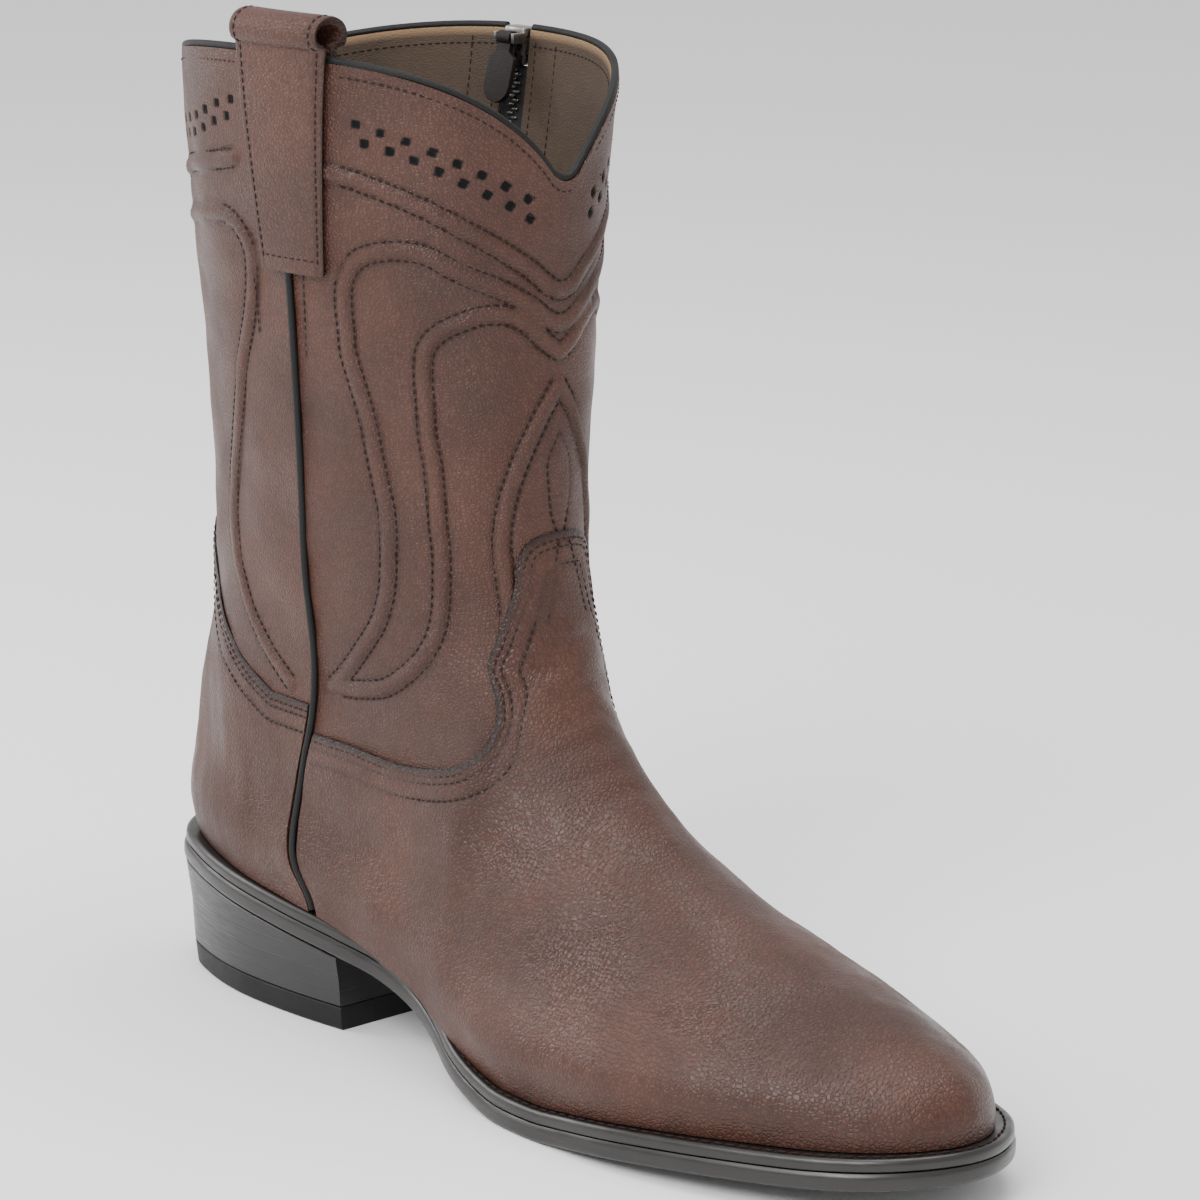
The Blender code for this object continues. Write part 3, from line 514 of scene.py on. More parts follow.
def pebbleGroup():  # tumbled grain: rounded cells with fine creases between
    group, entry, end = newGroup(
        "pebbleGrain",
        [("Place", "NodeSocketVector", None), ("Cells", "NodeSocketFloat", 700.0), ("Fine", "NodeSocketFloat", 0.25)],
        [("Height", "NodeSocketFloat"), ("CreaseShade", "NodeSocketFloat")],
    )
    warp = node(group, "ShaderNodeTexNoise", {"Vector": entry.outputs["Place"], "Scale": 330.0, "Detail": 2.0})
    shift = node(group, "ShaderNodeVectorMath", {0: warp.outputs["Color"], 1: (0.0011, 0.0011, 0.0011)})
    shift.operation = "MULTIPLY"
    moved = node(group, "ShaderNodeVectorMath", {0: entry.outputs["Place"], 1: shift.outputs[0]})
    cells = node(
        group, "ShaderNodeTexVoronoi",
        {"Vector": moved.outputs[0], "Scale": entry.outputs["Cells"], "Randomness": 0.9},
        feature="DISTANCE_TO_EDGE",
    )
    dome = rangeNode(group, cells.outputs["Distance"], 0.0, 0.28)
    pores = node(group, "ShaderNodeTexNoise", {"Vector": entry.outputs["Place"], "Scale": 2600.0, "Detail": 3.0})
    fine = mathNode(group, "MULTIPLY", pores.outputs[0], entry.outputs["Fine"])
    group.links.new(mathNode(group, "ADD", dome, fine), end.inputs["Height"])
    # the crease mask, used to paint shade into the creases between the cells
    group.links.new(mathNode(group, "SUBTRACT", 1.0, dome), end.inputs["CreaseShade"])
    return group


def mottleGroup():  # slow and quick changes of tone
    group, entry, end = newGroup(
        "mottle",
        [("Place", "NodeSocketVector", None), ("Size", "NodeSocketFloat", 30.0)],
        [("Tone", "NodeSocketFloat")],
    )
    place, size = entry.outputs["Place"], entry.outputs["Size"]
    slow = node(group, "ShaderNodeTexNoise", {"Vector": place, "Scale": size, "Detail": 3.0})
    quick = node(group, "ShaderNodeTexNoise", {"Vector": place, "Scale": 420.0, "Detail": 4.0})
    most = mathNode(group, "MULTIPLY", slow.outputs[0], 0.7)
    both = mathNode(group, "ADD", most, mathNode(group, "MULTIPLY", quick.outputs[0], 0.3))
    group.links.new(rangeNode(group, both, 0.3, 0.7), end.inputs["Tone"])
    return group


pebbleGrain = pebbleGroup()
mottle = mottleGroup()


def newMaterial(name, roughness=0.5, metallic=0.0):
    material = bpy.data.materials.new(name)
    material.use_nodes = True
    tree = material.node_tree
    shader = tree.nodes["Principled BSDF"]
    shader.inputs["Roughness"].default_value = roughness
    shader.inputs["Metallic"].default_value = metallic
    place = tree.nodes.new("ShaderNodeTexCoord").outputs["Object"]
    return material, tree, shader, place


def groupNode(tree, group, links):
    return node(tree, "ShaderNodeGroup", links, node_tree=group).outputs


def bumpTo(tree, shader, strength, distance, height):
    links = {"Strength": strength, "Distance": distance, "Height": height}
    tree.links.new(node(tree, "ShaderNodeBump", links).outputs[0], shader.inputs["Normal"])


def markNode(tree, name):
    return node(tree, "ShaderNodeAttribute", attribute_name=name).outputs["Fac"]


leatherLook = {
    "dark": (0.044, 0.0158, 0.0096, 1),
    "light": (0.084, 0.0320, 0.0200, 1),
    "edge": (0.0060, 0.0040, 0.0035, 1),
    # groove: painted shade, for the grain's creases and the rows of thread
    "groove": (0.022, 0.0080, 0.0055, 1),
    # painted shade with the dark underlay: the floor of each cut-out
    "underlayAndShade": (0.0012, 0.0010, 0.0010, 1),
    "grainHeight": 0.00030,
}


def leatherMaterial(name, cells, depth, rough=(0.36, 0.52)):
    material, tree, shader, place = newMaterial(name)
    grain = groupNode(tree, pebbleGrain, {"Place": place, "Cells": cells, "Fine": 0.30})
    tone = groupNode(tree, mottle, {"Place": place, "Size": 26.0})["Tone"]
    body = blendColor(tree, tone, leatherLook["dark"], leatherLook["light"])
    # painted shade: the grain's creases are darkened toward the groove colour
    creaseShaded = blendColor(tree, mathNode(tree, "MULTIPLY", grain["CreaseShade"], 0.45), body, leatherLook["groove"])
    edged = blendColor(tree, markNode(tree, "rim"), creaseShaded, leatherLook["edge"])
    # painted shade: the leather along the rows of thread, where it is grooved, darkened toward the groove colour
    sewn = blendColor(tree, mathNode(tree, "MULTIPLY", markNode(tree, "sewn"), 0.55), edged, leatherLook["groove"])
    # painted shade: the sunk floor of each cut-out is painted near-black, for the dark underlay and the shade inside
    # the hole
    holeShaded = blendColor(tree, rangeNode(tree, markNode(tree, "hole"), 0.15, 0.6), sewn, leatherLook["underlayAndShade"])
    tree.links.new(holeShaded, shader.inputs["Base Color"])
    smoothSpot = node(tree, "ShaderNodeTexNoise", {"Vector": place, "Scale": 38.0, "Detail": 2.0}).outputs[0]
    gloss = rangeNode(tree, smoothSpot, 0.35, 0.65, *rough)
    dull = mathNode(tree, "MULTIPLY", markNode(tree, "hole"), 0.6)
    tree.links.new(mathNode(tree, "ADD", gloss, dull), shader.inputs["Roughness"])
    strength = rangeNode(tree, smoothSpot, 0.3, 0.7, 0.75, 1.0)
    high = mathNode(tree, "MULTIPLY", grain["Height"], strength)
    bumpTo(tree, shader, depth, leatherLook["grainHeight"], high)
    shader.inputs["Specular IOR Level"].default_value = 0.36
    return material


def plainLeather(name, dark, light, cells, depth, rough, rimColor=None):
    material, tree, shader, place = newMaterial(name)
    grain = groupNode(tree, pebbleGrain, {"Place": place, "Cells": cells, "Fine": 0.5})
    tone = groupNode(tree, mottle, {"Place": place, "Size": 45.0})["Tone"]
    body = blendColor(tree, tone, dark, light)
    edged = blendColor(tree, markNode(tree, "rim"), body, rimColor) if rimColor else body
    tree.links.new(edged, shader.inputs["Base Color"])
    tree.links.new(rangeNode(tree, tone, 0.0, 1.0, *rough), shader.inputs["Roughness"])
    bumpTo(tree, shader, depth, 0.0002, grain["Height"])
    shader.inputs["Specular IOR Level"].default_value = 0.3
    return material


def stackMaterial(name, dark, light, lines, rough):  # layers along the height
    material, tree, shader, place = newMaterial(name)
    parts = node(tree, "ShaderNodeSeparateXYZ", {0: place})
    tone = groupNode(tree, mottle, {"Place": place, "Size": 60.0})["Tone"]
    stretch = node(tree, "ShaderNodeMapping", {"Vector": place, "Scale": (1.0, 1.0, 14.0)})
    streak = node(tree, "ShaderNodeTexNoise", {"Vector": stretch.outputs[0], "Scale": 120.0, "Detail": 3.0}).outputs[0]
    mixed = mathNode(tree, "ADD", mathNode(tree, "MULTIPLY", tone, 0.5), mathNode(tree, "MULTIPLY", streak, 0.5))
    body = blendColor(tree, mixed, dark, light)
    wave = mathNode(tree, "SINE", mathNode(tree, "MULTIPLY", parts.outputs[2], turn / lines))
    line = rangeNode(tree, wave, 0.93, 1.0)
    lined = blendColor(tree, mathNode(tree, "MULTIPLY", line, 0.6), body, (0.004, 0.0035, 0.003, 1))
    tree.links.new(lined, shader.inputs["Base Color"])
    tree.links.new(rangeNode(tree, streak, 0.3, 0.7, *rough), shader.inputs["Roughness"])
    high = mathNode(tree, "SUBTRACT", mathNode(tree, "MULTIPLY", streak, 0.6), line)
    bumpTo(tree, shader, 0.35, 0.0002, high)
    shader.inputs["Coat Weight"].default_value = 0.15
    shader.inputs["Coat Roughness"].default_value = 0.25
    return material


def clothMaterial(name, dark, light, threads, rough=0.85):  # fine woven tape
    material, tree, shader, place = newMaterial(name, rough)
    parts = node(tree, "ShaderNodeSeparateXYZ", {0: place})
    across = mathNode(tree, "SINE", mathNode(tree, "MULTIPLY", parts.outputs[0], threads))
    along = mathNode(tree, "SINE", mathNode(tree, "MULTIPLY", parts.outputs[2], threads))
    weave = mathNode(tree, "MULTIPLY", across, along)
    tree.links.new(blendColor(tree, rangeNode(tree, weave, -1.0, 1.0), dark, light), shader.inputs["Base Color"])
    bumpTo(tree, shader, 0.6, 0.0002, weave)
    return material


def metalMaterial(name, color, rough):
    material, tree, shader, place = newMaterial(name, rough, 1.0)
    scratch = node(tree, "ShaderNodeTexNoise", {"Vector": place, "Scale": 900.0, "Detail": 4.0}).outputs[0]
    shaded = tuple(0.6 * channel for channel in color[:3]) + (1,)
    tree.links.new(blendColor(tree, scratch, color, shaded), shader.inputs["Base Color"])
    tree.links.new(rangeNode(tree, scratch, 0.3, 0.7, rough * 0.8, rough * 1.5), shader.inputs["Roughness"])
    bumpTo(tree, shader, 0.15, 0.0001, scratch)
    return material


shaftLook = leatherMaterial("shaftLeather", 900.0, 0.55)
vampLook = leatherMaterial("vampLeather", 760.0, 0.50, (0.33, 0.50))
strapLook = leatherMaterial("strapLeather", 800.0, 0.55)
pipingLook = plainLeather(
    "pipingLeather", (0.0016, 0.0014, 0.0014, 1), (0.0040, 0.0034, 0.0032, 1), 1500.0, 0.3, (0.50, 0.62)
)
liningLook = plainLeather(
    "liningLeather", (0.046, 0.030, 0.0205, 1), (0.074, 0.050, 0.034, 1), 1100.0, 0.45, (0.66, 0.82),
    (0.30, 0.19, 0.105, 1),
)
threadLook = plainLeather(
    "thread", (0.010, 0.0040, 0.0034, 1), (0.022, 0.0080, 0.0060, 1), 4000.0, 0.3, (0.75, 0.85)
)
soleLook = stackMaterial(
    "soleLeather", (0.0060, 0.0046, 0.0040, 1), (0.013, 0.0100, 0.0085, 1), 0.020, (0.30, 0.44)
)
heelLook = stackMaterial(
    "heelLeather", (0.0030, 0.0028, 0.0028, 1), (0.0075, 0.0068, 0.0065, 1), 0.0052, (0.32, 0.46)
)
rubberLook = plainLeather(
    "heelRubber", (0.0020, 0.0020, 0.0020, 1), (0.0042, 0.0041, 0.0040, 1), 1800.0, 0.2, (0.50, 0.62)
)
tabLook = plainLeather(
    "tabLeather", (0.0060, 0.0036, 0.0030, 1), (0.0120, 0.0068, 0.0054, 1), 1600.0, 0.4, (0.60, 0.75)
)
tapeLook = clothMaterial("zipTape", (0.004, 0.004, 0.005, 1), (0.016, 0.014, 0.016, 1), 9000.0)
# near-black cloth behind the cut-outs: a dark underlay, and painted shade behind the holes
underlayShadeLook = clothMaterial("holeUnderlayAndShade", (0.003, 0.003, 0.003, 1), (0.006, 0.005, 0.005, 1), 6000.0)
nickelLook = metalMaterial("darkNickel", (0.32, 0.31, 0.30, 1), 0.28)
print("materials ready")

# Stitches: one bead, copied along a line on the leather

stitch = {"pitch": 0.0023, "length": 0.00165, "width": 0.00050, "height": 0.00038}
bpy.ops.object.select_all(action="DESELECT")
bpy.ops.mesh.primitive_uv_sphere_add(segments=6, ring_count=4, radius=0.5)
beadPoints, beadFaces = shapeOf(bpy.context.object)


def sewPiece(name, rows, size=stitch):  # one bead per stitch
    spots = []
    for points, normals in rows:
        run = runOf(points)
        count = max(2, int(round(run[-1] / size["pitch"])))
        at = (np.arange(count) + 0.5) * run[-1] / count
        middle = valuesAt(at, run, points)
        normal = unit(valuesAt(at, run, normals))
        small = size["length"] / 3
        along = unit(valuesAt(at + small, run, points) - valuesAt(at - small, run, points))
        across = unit(np.cross(normal, along))
        spots.append((middle, along, across, np.cross(along, across)))
    middle, along, across, up = (np.concatenate([spot[k] for spot in spots]) for k in range(4))
    shape = beadPoints * np.array([size["width"], size["height"], size["length"]])
    verts = (
        middle[:, None] + shape[None, :, 2:3] * along[:, None]
        + shape[None, :, 0:1] * across[:, None] + shape[None, :, 1:2] * up[:, None]
    ).reshape(-1, 3)
    piece = meshPiece(name, verts, facesOf(beadFaces, len(beadPoints), len(middle)))
    finishPiece(piece, threadLook, degrees=80)


# Lines sewn on the shaft: places as degrees round from the back, and level

bandLines = {
    "underHoles": [
        (97, 0.905), (106, 0.903), (116, 0.900), (127, 0.894), (137, 0.888), (148, 0.882), (160, 0.880), (170, 0.882),
        (180, 0.884),
    ],
    "outerLoop": [
        (180, 0.852), (170, 0.850), (159, 0.848), (151, 0.847), (144, 0.848), (136, 0.854), (129, 0.853), (121, 0.847),
        (116, 0.838), (113, 0.824), (112, 0.807), (112, 0.790), (112, 0.773), (114, 0.750), (116, 0.724), (117, 0.700),
        (118, 0.680), (119, 0.657), (118, 0.625), (116, 0.594), (111, 0.554), (103, 0.509), (96, 0.472), (92, 0.452),
    ],
    "innerLoop": [
        (180, 0.824), (171, 0.829), (162, 0.831), (153, 0.823), (145, 0.811), (138, 0.798), (134, 0.784), (133, 0.765),
        (133, 0.747), (133, 0.722), (134, 0.697), (134, 0.664), (134, 0.631), (132, 0.592), (129, 0.562), (124, 0.532),
        (117, 0.504), (109, 0.478), (100, 0.462), (95, 0.456),
    ],
    "arrow": [
        (180, 0.792), (174, 0.770), (168, 0.742), (162, 0.712), (157, 0.681), (154, 0.651), (154, 0.625), (154, 0.590),
    ],
    "backLoop": [
        (0, 0.848), (20, 0.850), (40, 0.855), (57, 0.858), (68, 0.861), (77, 0.856), (82, 0.838), (82, 0.818),
        (79, 0.788), (74, 0.757), (68, 0.712), (62, 0.665), (60, 0.640), (59, 0.612), (60, 0.568), (64, 0.511),
        (70, 0.471), (78, 0.430),
    ],
    "backTop": [(0, 0.888), (20, 0.889), (40, 0.892), (54, 0.896), (66, 0.898), (80, 0.903)],
}
threadLines = {
    "diamond": [(180, 0.748), (174, 0.722), (174, 0.697), (175, 0.675), (178, 0.655)],
    "shortBack": [(83, 0.823), (83, 0.800), (82.5, 0.775)],
    "shortFront": [(101, 0.825), (100, 0.800), (99, 0.765)],
}
band = {"half": 0.0023, "height": 0.0010, "row": 0.0027, "groove": 0.00022, "grooveWidth": 0.0007}


def pathOf(places):  # a smooth path through the places
    places = np.array(places, float)
    steps = np.arange(len(places))
    rows = {"step": steps, "theta": np.radians(places[:, 0]), "level": places[:, 1]}
    fine = np.linspace(0, steps[-1], 40 * len(places))
    theta = curve(rows, "theta", fine)
    level = curve(rows, "level", fine)
    points = skin(theta, level)
    length = np.linalg.norm(np.diff(points, axis=0), axis=1).sum()
    return resample(np.stack([theta, level], -1), points, max(6, int(length / 0.0008)))


def mirrored(path):
    return np.stack([turn - path[:, 0], path[:, 1]], -1)


def stepOn(around, upward, step):  # change of theta and of level that makes a short step on the leather
    a = (around * around).sum(-1)
    b = (around * upward).sum(-1)
    c = (upward * upward).sum(-1)
    e = (around * step).sum(-1)
    f = (upward * step).sum(-1)
    bottom = np.maximum(a * c - b * b, 1e-12)
    return (c * e - b * f) / bottom, (a * f - b * e) / bottom


def besidePath(path, offset):  # the same path moved sideways on the leather
    point, normal, around, upward = skinFrame(path[:, 0], path[:, 1])
    along = unit(np.gradient(point, axis=0))
    side = unit(np.cross(normal, along)) * offset
    return path + np.stack(stepOn(around, upward, side), -1)


def rowOn(path, lift):
    point, normal, _, _ = skinFrame(path[:, 0], path[:, 1])
    return point + normal * lift, normal


def nearest(points, lines):  # distance from each point to the nearest of the lines
    samples = np.concatenate(lines)
    tree = KDTree(len(samples))
    for i, sample in enumerate(samples):
        tree.insert(sample, i)
    tree.balance()
    flat = points.reshape(-1, 3)
    return np.array([tree.find(p)[2] for p in flat]).reshape(points.shape[:-1])


def runsOutside(path, blocked):  # splits a path where it is blocked
    runs = []
    start = None
    for i, stop in enumerate(list(blocked) + [True]):
        if not stop and start is None:
            start = i
        if stop and start is not None:
            if i - start > 4:
                runs.append(path[start:i])
            start = None
    return runs


def bothSides(lines):
    paths = [pathOf(places) for places in lines]
    return [side for path in paths for side in (path, mirrored(path))]


bandPaths = bothSides(bandLines.values())
threadPaths = bothSides(threadLines.values())
bandRows = []
for k, path in enumerate(bandPaths):
    others = [onSkin(other) for j, other in enumerate(bandPaths) if j != k]
    for sign in (-1, 1):
        row = besidePath(path, sign * band["row"])
        crossed = nearest(onSkin(row), others) < band["row"] - 0.0003
        bandRows += runsOutside(row, crossed)
collarLevel = levelUnderCollar(0.0062)
collarPath = np.stack([np.linspace(0, turn, 600), np.full(600, collarLevel)], -1)


strap = {
    "width": 0.031, "endWidth": 0.022, "thickness": 0.0022, "drop": 0.0620, "insideDrop": 0.0400,
    "rise": 0.0083, "bulge": 0.0047, "fullness": 0.45, "sewn": 0.0022,
}


def sideGap(points, pad):  # true where the strap or the zip is
    x, y, z = points.T
    onStrap = (y < 0) & (np.abs(x - strapX) < strap["width"] / 2 + pad) & (z > boot["height"] - strap["drop"])
    onZip = (y > 0) & (np.abs(x - zipper["x"]) < zipper["slot"] / 2 + pad) & (z > zipper["bottom"])
    return onStrap | onZip


# Small cut-outs in two staggered rows under the collar, sunk into the leather, with floors painted near-black for the
# dark underlay and the painted shade inside a hole

holes = {
    "pitch": 0.0074, "wide": 0.0034, "tall": 0.0031, "rows": (0.0021, -0.0021), "first": 0.0045, "near": 0.002,
    "front": 0.17, "depth": 0.0006, "apart": 0.0048, "inside": 0.68, "reach": 1.28,
}
holeLine = [
    (0, 0.925), (30, 0.925), (60, 0.927), (74, 0.938), (85, 0.944), (100, 0.942), (115, 0.938), (123, 0.934),
    (133, 0.931), (143, 0.927), (154, 0.927), (166, 0.934), (180, 0.945),
]


def holePlaces():
    half = pathOf(holeLine)
    run = runOf(onSkin(half))
    spots = []
    for k, rise in enumerate(holes["rows"]):
        at = np.arange(holes["first"] + 0.5 * k * holes["pitch"], run[-1] - holes["first"], holes["pitch"])
        theta, level = valuesAt(at, run, half).T
        ahead = onSkin(valuesAt(at + holes["near"], run, half)) - onSkin(valuesAt(at - holes["near"], run, half))
        _, normal, around, upward = skinFrame(theta, level)
        step = unit(np.cross(ahead, normal))
        turned, raised = stepOn(around, upward, step * np.sign(step[:, 2:]) * rise)
        theta, level = theta + turned, level + raised
        for sideTheta in (theta, turn - theta):
            free = ~sideGap(skin(sideTheta, level), holes["wide"] * 0.9)
            free &= np.abs(sideTheta - math.pi) > holes["front"]
            spots.append(np.stack([sideTheta, level], -1)[free])
    spots = np.concatenate(spots)
    places = onSkin(spots)
    kept = []
    for k in range(len(spots)):
        if all(np.linalg.norm(places[k] - places[j]) > holes["apart"] for j in kept):
            kept.append(k)
    return spots[kept]


holeSpots = holePlaces()


def openHoles(theta, level):  # draws the grid to the rim of each cut-out; inside one the mark is above 0
    which = np.zeros(theta.shape, int)
    _, _, around, upward = skinFrame(holeSpots[:, 0], holeSpots[:, 1])
    spanTheta = np.linalg.norm(around, axis=-1)
    lean = (unit(around) * upward).sum(-1)
    rise = np.sqrt(np.maximum((upward * upward).sum(-1) - lean**2, 1e-12))
    for k, (centre, middle) in enumerate(holeSpots):
        offTheta = (theta - centre + math.pi) % turn - math.pi
        offLevel = level - middle
        du = offTheta * spanTheta[k] + offLevel * lean[k]
        dv = offLevel * rise[k]
        radius = ((np.abs(du) / (holes["wide"] / 2)) ** 5 + (np.abs(dv) / (holes["tall"] / 2)) ** 5) ** 0.2
        snap = (radius > holes["inside"]) & (radius < holes["reach"]) & (which == 0)
        factor = np.where(snap, 1 / np.maximum(radius, 1e-6), 1)
        newLevel = dv * factor / rise[k]
        newTheta = (du * factor - newLevel * lean[k]) / spanTheta[k]
        which = np.where(radius <= holes["inside"], k + 1, which)
        which = np.where(snap, -1, which)
        theta = np.where(snap, theta + newTheta - offTheta, theta)
        level = np.where(snap, middle + newLevel, level)
    return theta, level, which


def shaftLevels(low, high, count):  # rows lie closer under the collar
    fine = np.linspace(low, high, 2000)
    density = 1 + 1.4 * np.exp(-(((fine - 0.933) / 0.024) ** 2))
    run = np.concatenate([[0], np.cumsum((density[1:] + density[:-1]) / 2)])
    return np.interp(np.linspace(0, run[-1], count), run, fine)


def slotX(sign):
    def line(z):
        opened = smooth(zipper["bottom"] - 0.0015, zipper["bottom"], z)
        below = seamX(z) + seamShift[medial]
        middle = np.where(z > zipper["bottom"], zipper["x"], below)
        return middle + sign * (zipper["slot"] / 2 * opened + 0.0003)
    return line


def sideX(sign):
    return lambda z: seamX(z) + sign * 0.0003


sewnShadeWidth = 0.0008  # of the painted shade along a row of thread, where the leather is grooved
allBands = [onSkin(path) for path in bandPaths]
allRows = [onSkin(path) for path in bandRows + threadPaths]


def shaftRelief(level, points):
    away = nearest(points, allBands)
    sewnAway = nearest(points, allRows)
    crown = band["height"] * np.clip(1 - (away / band["half"]) ** 2, 0, 1) ** 0.6
    groove = -band["groove"] * np.exp(-((sewnAway / band["grooveWidth"]) ** 2))
    puff = 0.00035 * smooth(0.0, 0.012, away) * smooth(0.95, 0.85, level)
    sway = 0.00035 * ripple(points, 0.045, 5) + 0.00010 * ripple(points, 0.012, 6)
    # the second value is the mark of painted shade along the rows of thread
    return crown + groove + puff + sway, np.exp(-((sewnAway / sewnShadeWidth) ** 2))


shaft = {"columns": 232, "rows": 188, "low": 0.30, "thickness": 0.0012}


def spread(left, right, levels, share):  # theta and level on a grid between two borders
    theta = left[:, None] + (right - left)[:, None] * share
    return theta, np.broadcast_to(levels[:, None], theta.shape)


def shaftPanel(name, left, right, levels):
    evenTheta, level = spread(left, right, levels, np.linspace(0, 1, shaft["columns"]))
    theta, level, which = openHoles(evenTheta, level)
    theta[:, [0, -1]] = evenTheta[:, [0, -1]]
    inside = (which > 0) * 1.0
    point, normal, _, _ = skinFrame(theta, level)
    relief, sewn = shaftRelief(level, point)
    # the cut-outs are sunk, and the hole mark paints their floors near-black as shade
    points = point + normal * (relief - holes["depth"] * inside)[..., None]
    piece = gridPiece(name, points, {"sewn": sewn, "hole": inside})
    thicken(piece, shaft["thickness"])
    finishPiece(piece, shaftLook, ("upper",))


levels = shaftLevels(shaft["low"], rimLevel, shaft["rows"])
medialFront = borderTheta(levels, medial, slotX(1))
medialBack = borderTheta(levels, medial, slotX(-1))
shaftPanel("shaftFront", borderTheta(levels, lateral, sideX(1)), medialFront, levels)
shaftPanel("shaftBack", medialBack, borderTheta(levels, lateral, sideX(-1)) + turn, levels)
print("shaft panels made")

# The lining, and a dark strip between it and the shaft at the cut-outs: a dark underlay, and painted shade behind the
# holes

liningLevels = np.linspace(0, rimLevel, 120)
liningFront = borderTheta(liningLevels, medial, slotX(1))
liningBack = borderTheta(liningLevels, medial, slotX(-1))
lining = {"columns": 260, "gap": 0.00135, "thickness": 0.00105}
share = np.linspace(0, 1, lining["columns"])
liningTheta, liningLevel = spread(liningBack, liningFront + turn, liningLevels, share)
slack = 0.0002 * (ripple(skin(liningTheta, liningLevel), 0.06, 8) - 1) * smooth(0.99, 0.9, liningLevel)
liningPoints = skin(liningTheta, liningLevel, slack - lining["gap"])
rim = np.zeros(liningTheta.shape)
rim[-1] = 1
liningPiece = gridPiece("lining", liningPoints, {"rim": rim})
thicken(liningPiece, lining["thickness"])
finishPiece(liningPiece, liningLook, ("upper",))

# painted shade: a near-black strip behind the cut-outs, as a dark underlay and the shade behind the holes
stripLevels = np.linspace(0.905, 0.965, 8)
stripFront = borderTheta(stripLevels, medial, slotX(1)) - 0.02
stripBack = borderTheta(stripLevels, medial, slotX(-1)) + 0.02
stripTheta, stripLevel = spread(stripBack, stripFront + turn, stripLevels, share)
underlayShadeStrip = gridPiece("holeUnderlayAndShade", skin(stripTheta, stripLevel, -0.00122))
thicken(underlayShadeStrip, 0.0001)
finishPiece(underlayShadeStrip, underlayShadeLook)

# Vamp and counter, each a patch between its edge, the side seams and the welt

overlay = {
    "seam": 0.0019, "lead": 0.05, "fan": 2.1, "girth": 0.17, "steps": 600, "ease": 0.30,
    "vampColumns": 300, "vampRows": 150, "counterColumns": 230, "counterRows": 95,
}


def edgeSide(rows, count):  # the sewn edge in the side view
    steps = np.arange(len(rows["along"]))
    eased = {"step": steps, "along": rows["along"], "height": rows["height"]}
    at = np.linspace(0, steps[-1], count)
    return boot["soleLength"] * curve(eased, "along", at), boot["height"] * curve(eased, "height", at)


def edgePath(rows, side, sign):  # the sewn edge from the side seam to the middle
    x, z = edgeSide(rows, 700)
    startX = float(seamX(z[0])) + seamShift[side] + sign * overlay["seam"]
    lead = np.linspace(startX, x[0], 60)[:-1]
    x = np.concatenate([lead, x])
    z = np.concatenate([np.full(len(lead), z[0]), z])
    share = (x - backX(z)) / (frontX(z) - backX(z))
    over = np.nonzero((share >= 1) if sign > 0 else (share <= 0))[0]
    last = over[0] if len(over) else len(x)
    theta = thetaAt(x[:last], z[:last], side)
    level = levelAt(theta, z[:last])
    middle = math.pi if sign > 0 else (0.0 if side < 0 else turn)
    endLevel = float(levelAt(np.array([middle]), np.array([z[min(last, len(z) - 1)]]))[0])
    return np.concatenate([np.stack([theta, level], -1), [[middle, endLevel]]])


def relaxed(grid):  # lets the inside of a grid settle between its borders for a set number of steps, to unfold its cells
    grid = grid * np.array([overlay["girth"], 1.0])
    for _ in range(overlay["steps"]):
        across = (grid[1:-1, 2:] - grid[1:-1, :-2]) / 2
        along = (grid[2:, 1:-1] - grid[:-2, 1:-1]) / 2
        first = (along**2).sum(-1, keepdims=True) + 1e-12
        second = (across**2).sum(-1, keepdims=True) + 1e-12
        mixed = (across * along).sum(-1, keepdims=True)
        corner = (grid[2:, 2:] - grid[2:, :-2] - grid[:-2, 2:] + grid[:-2, :-2]) / 4
        wanted = first * (grid[1:-1, 2:] + grid[1:-1, :-2]) + second * (grid[2:, 1:-1] + grid[:-2, 1:-1])
        wanted = (wanted - 2 * mixed * corner) / (2 * (first + second))
        grid[1:-1, 1:-1] += 0.8 * (wanted - grid[1:-1, 1:-1])
    return grid / np.array([overlay["girth"], 1.0])


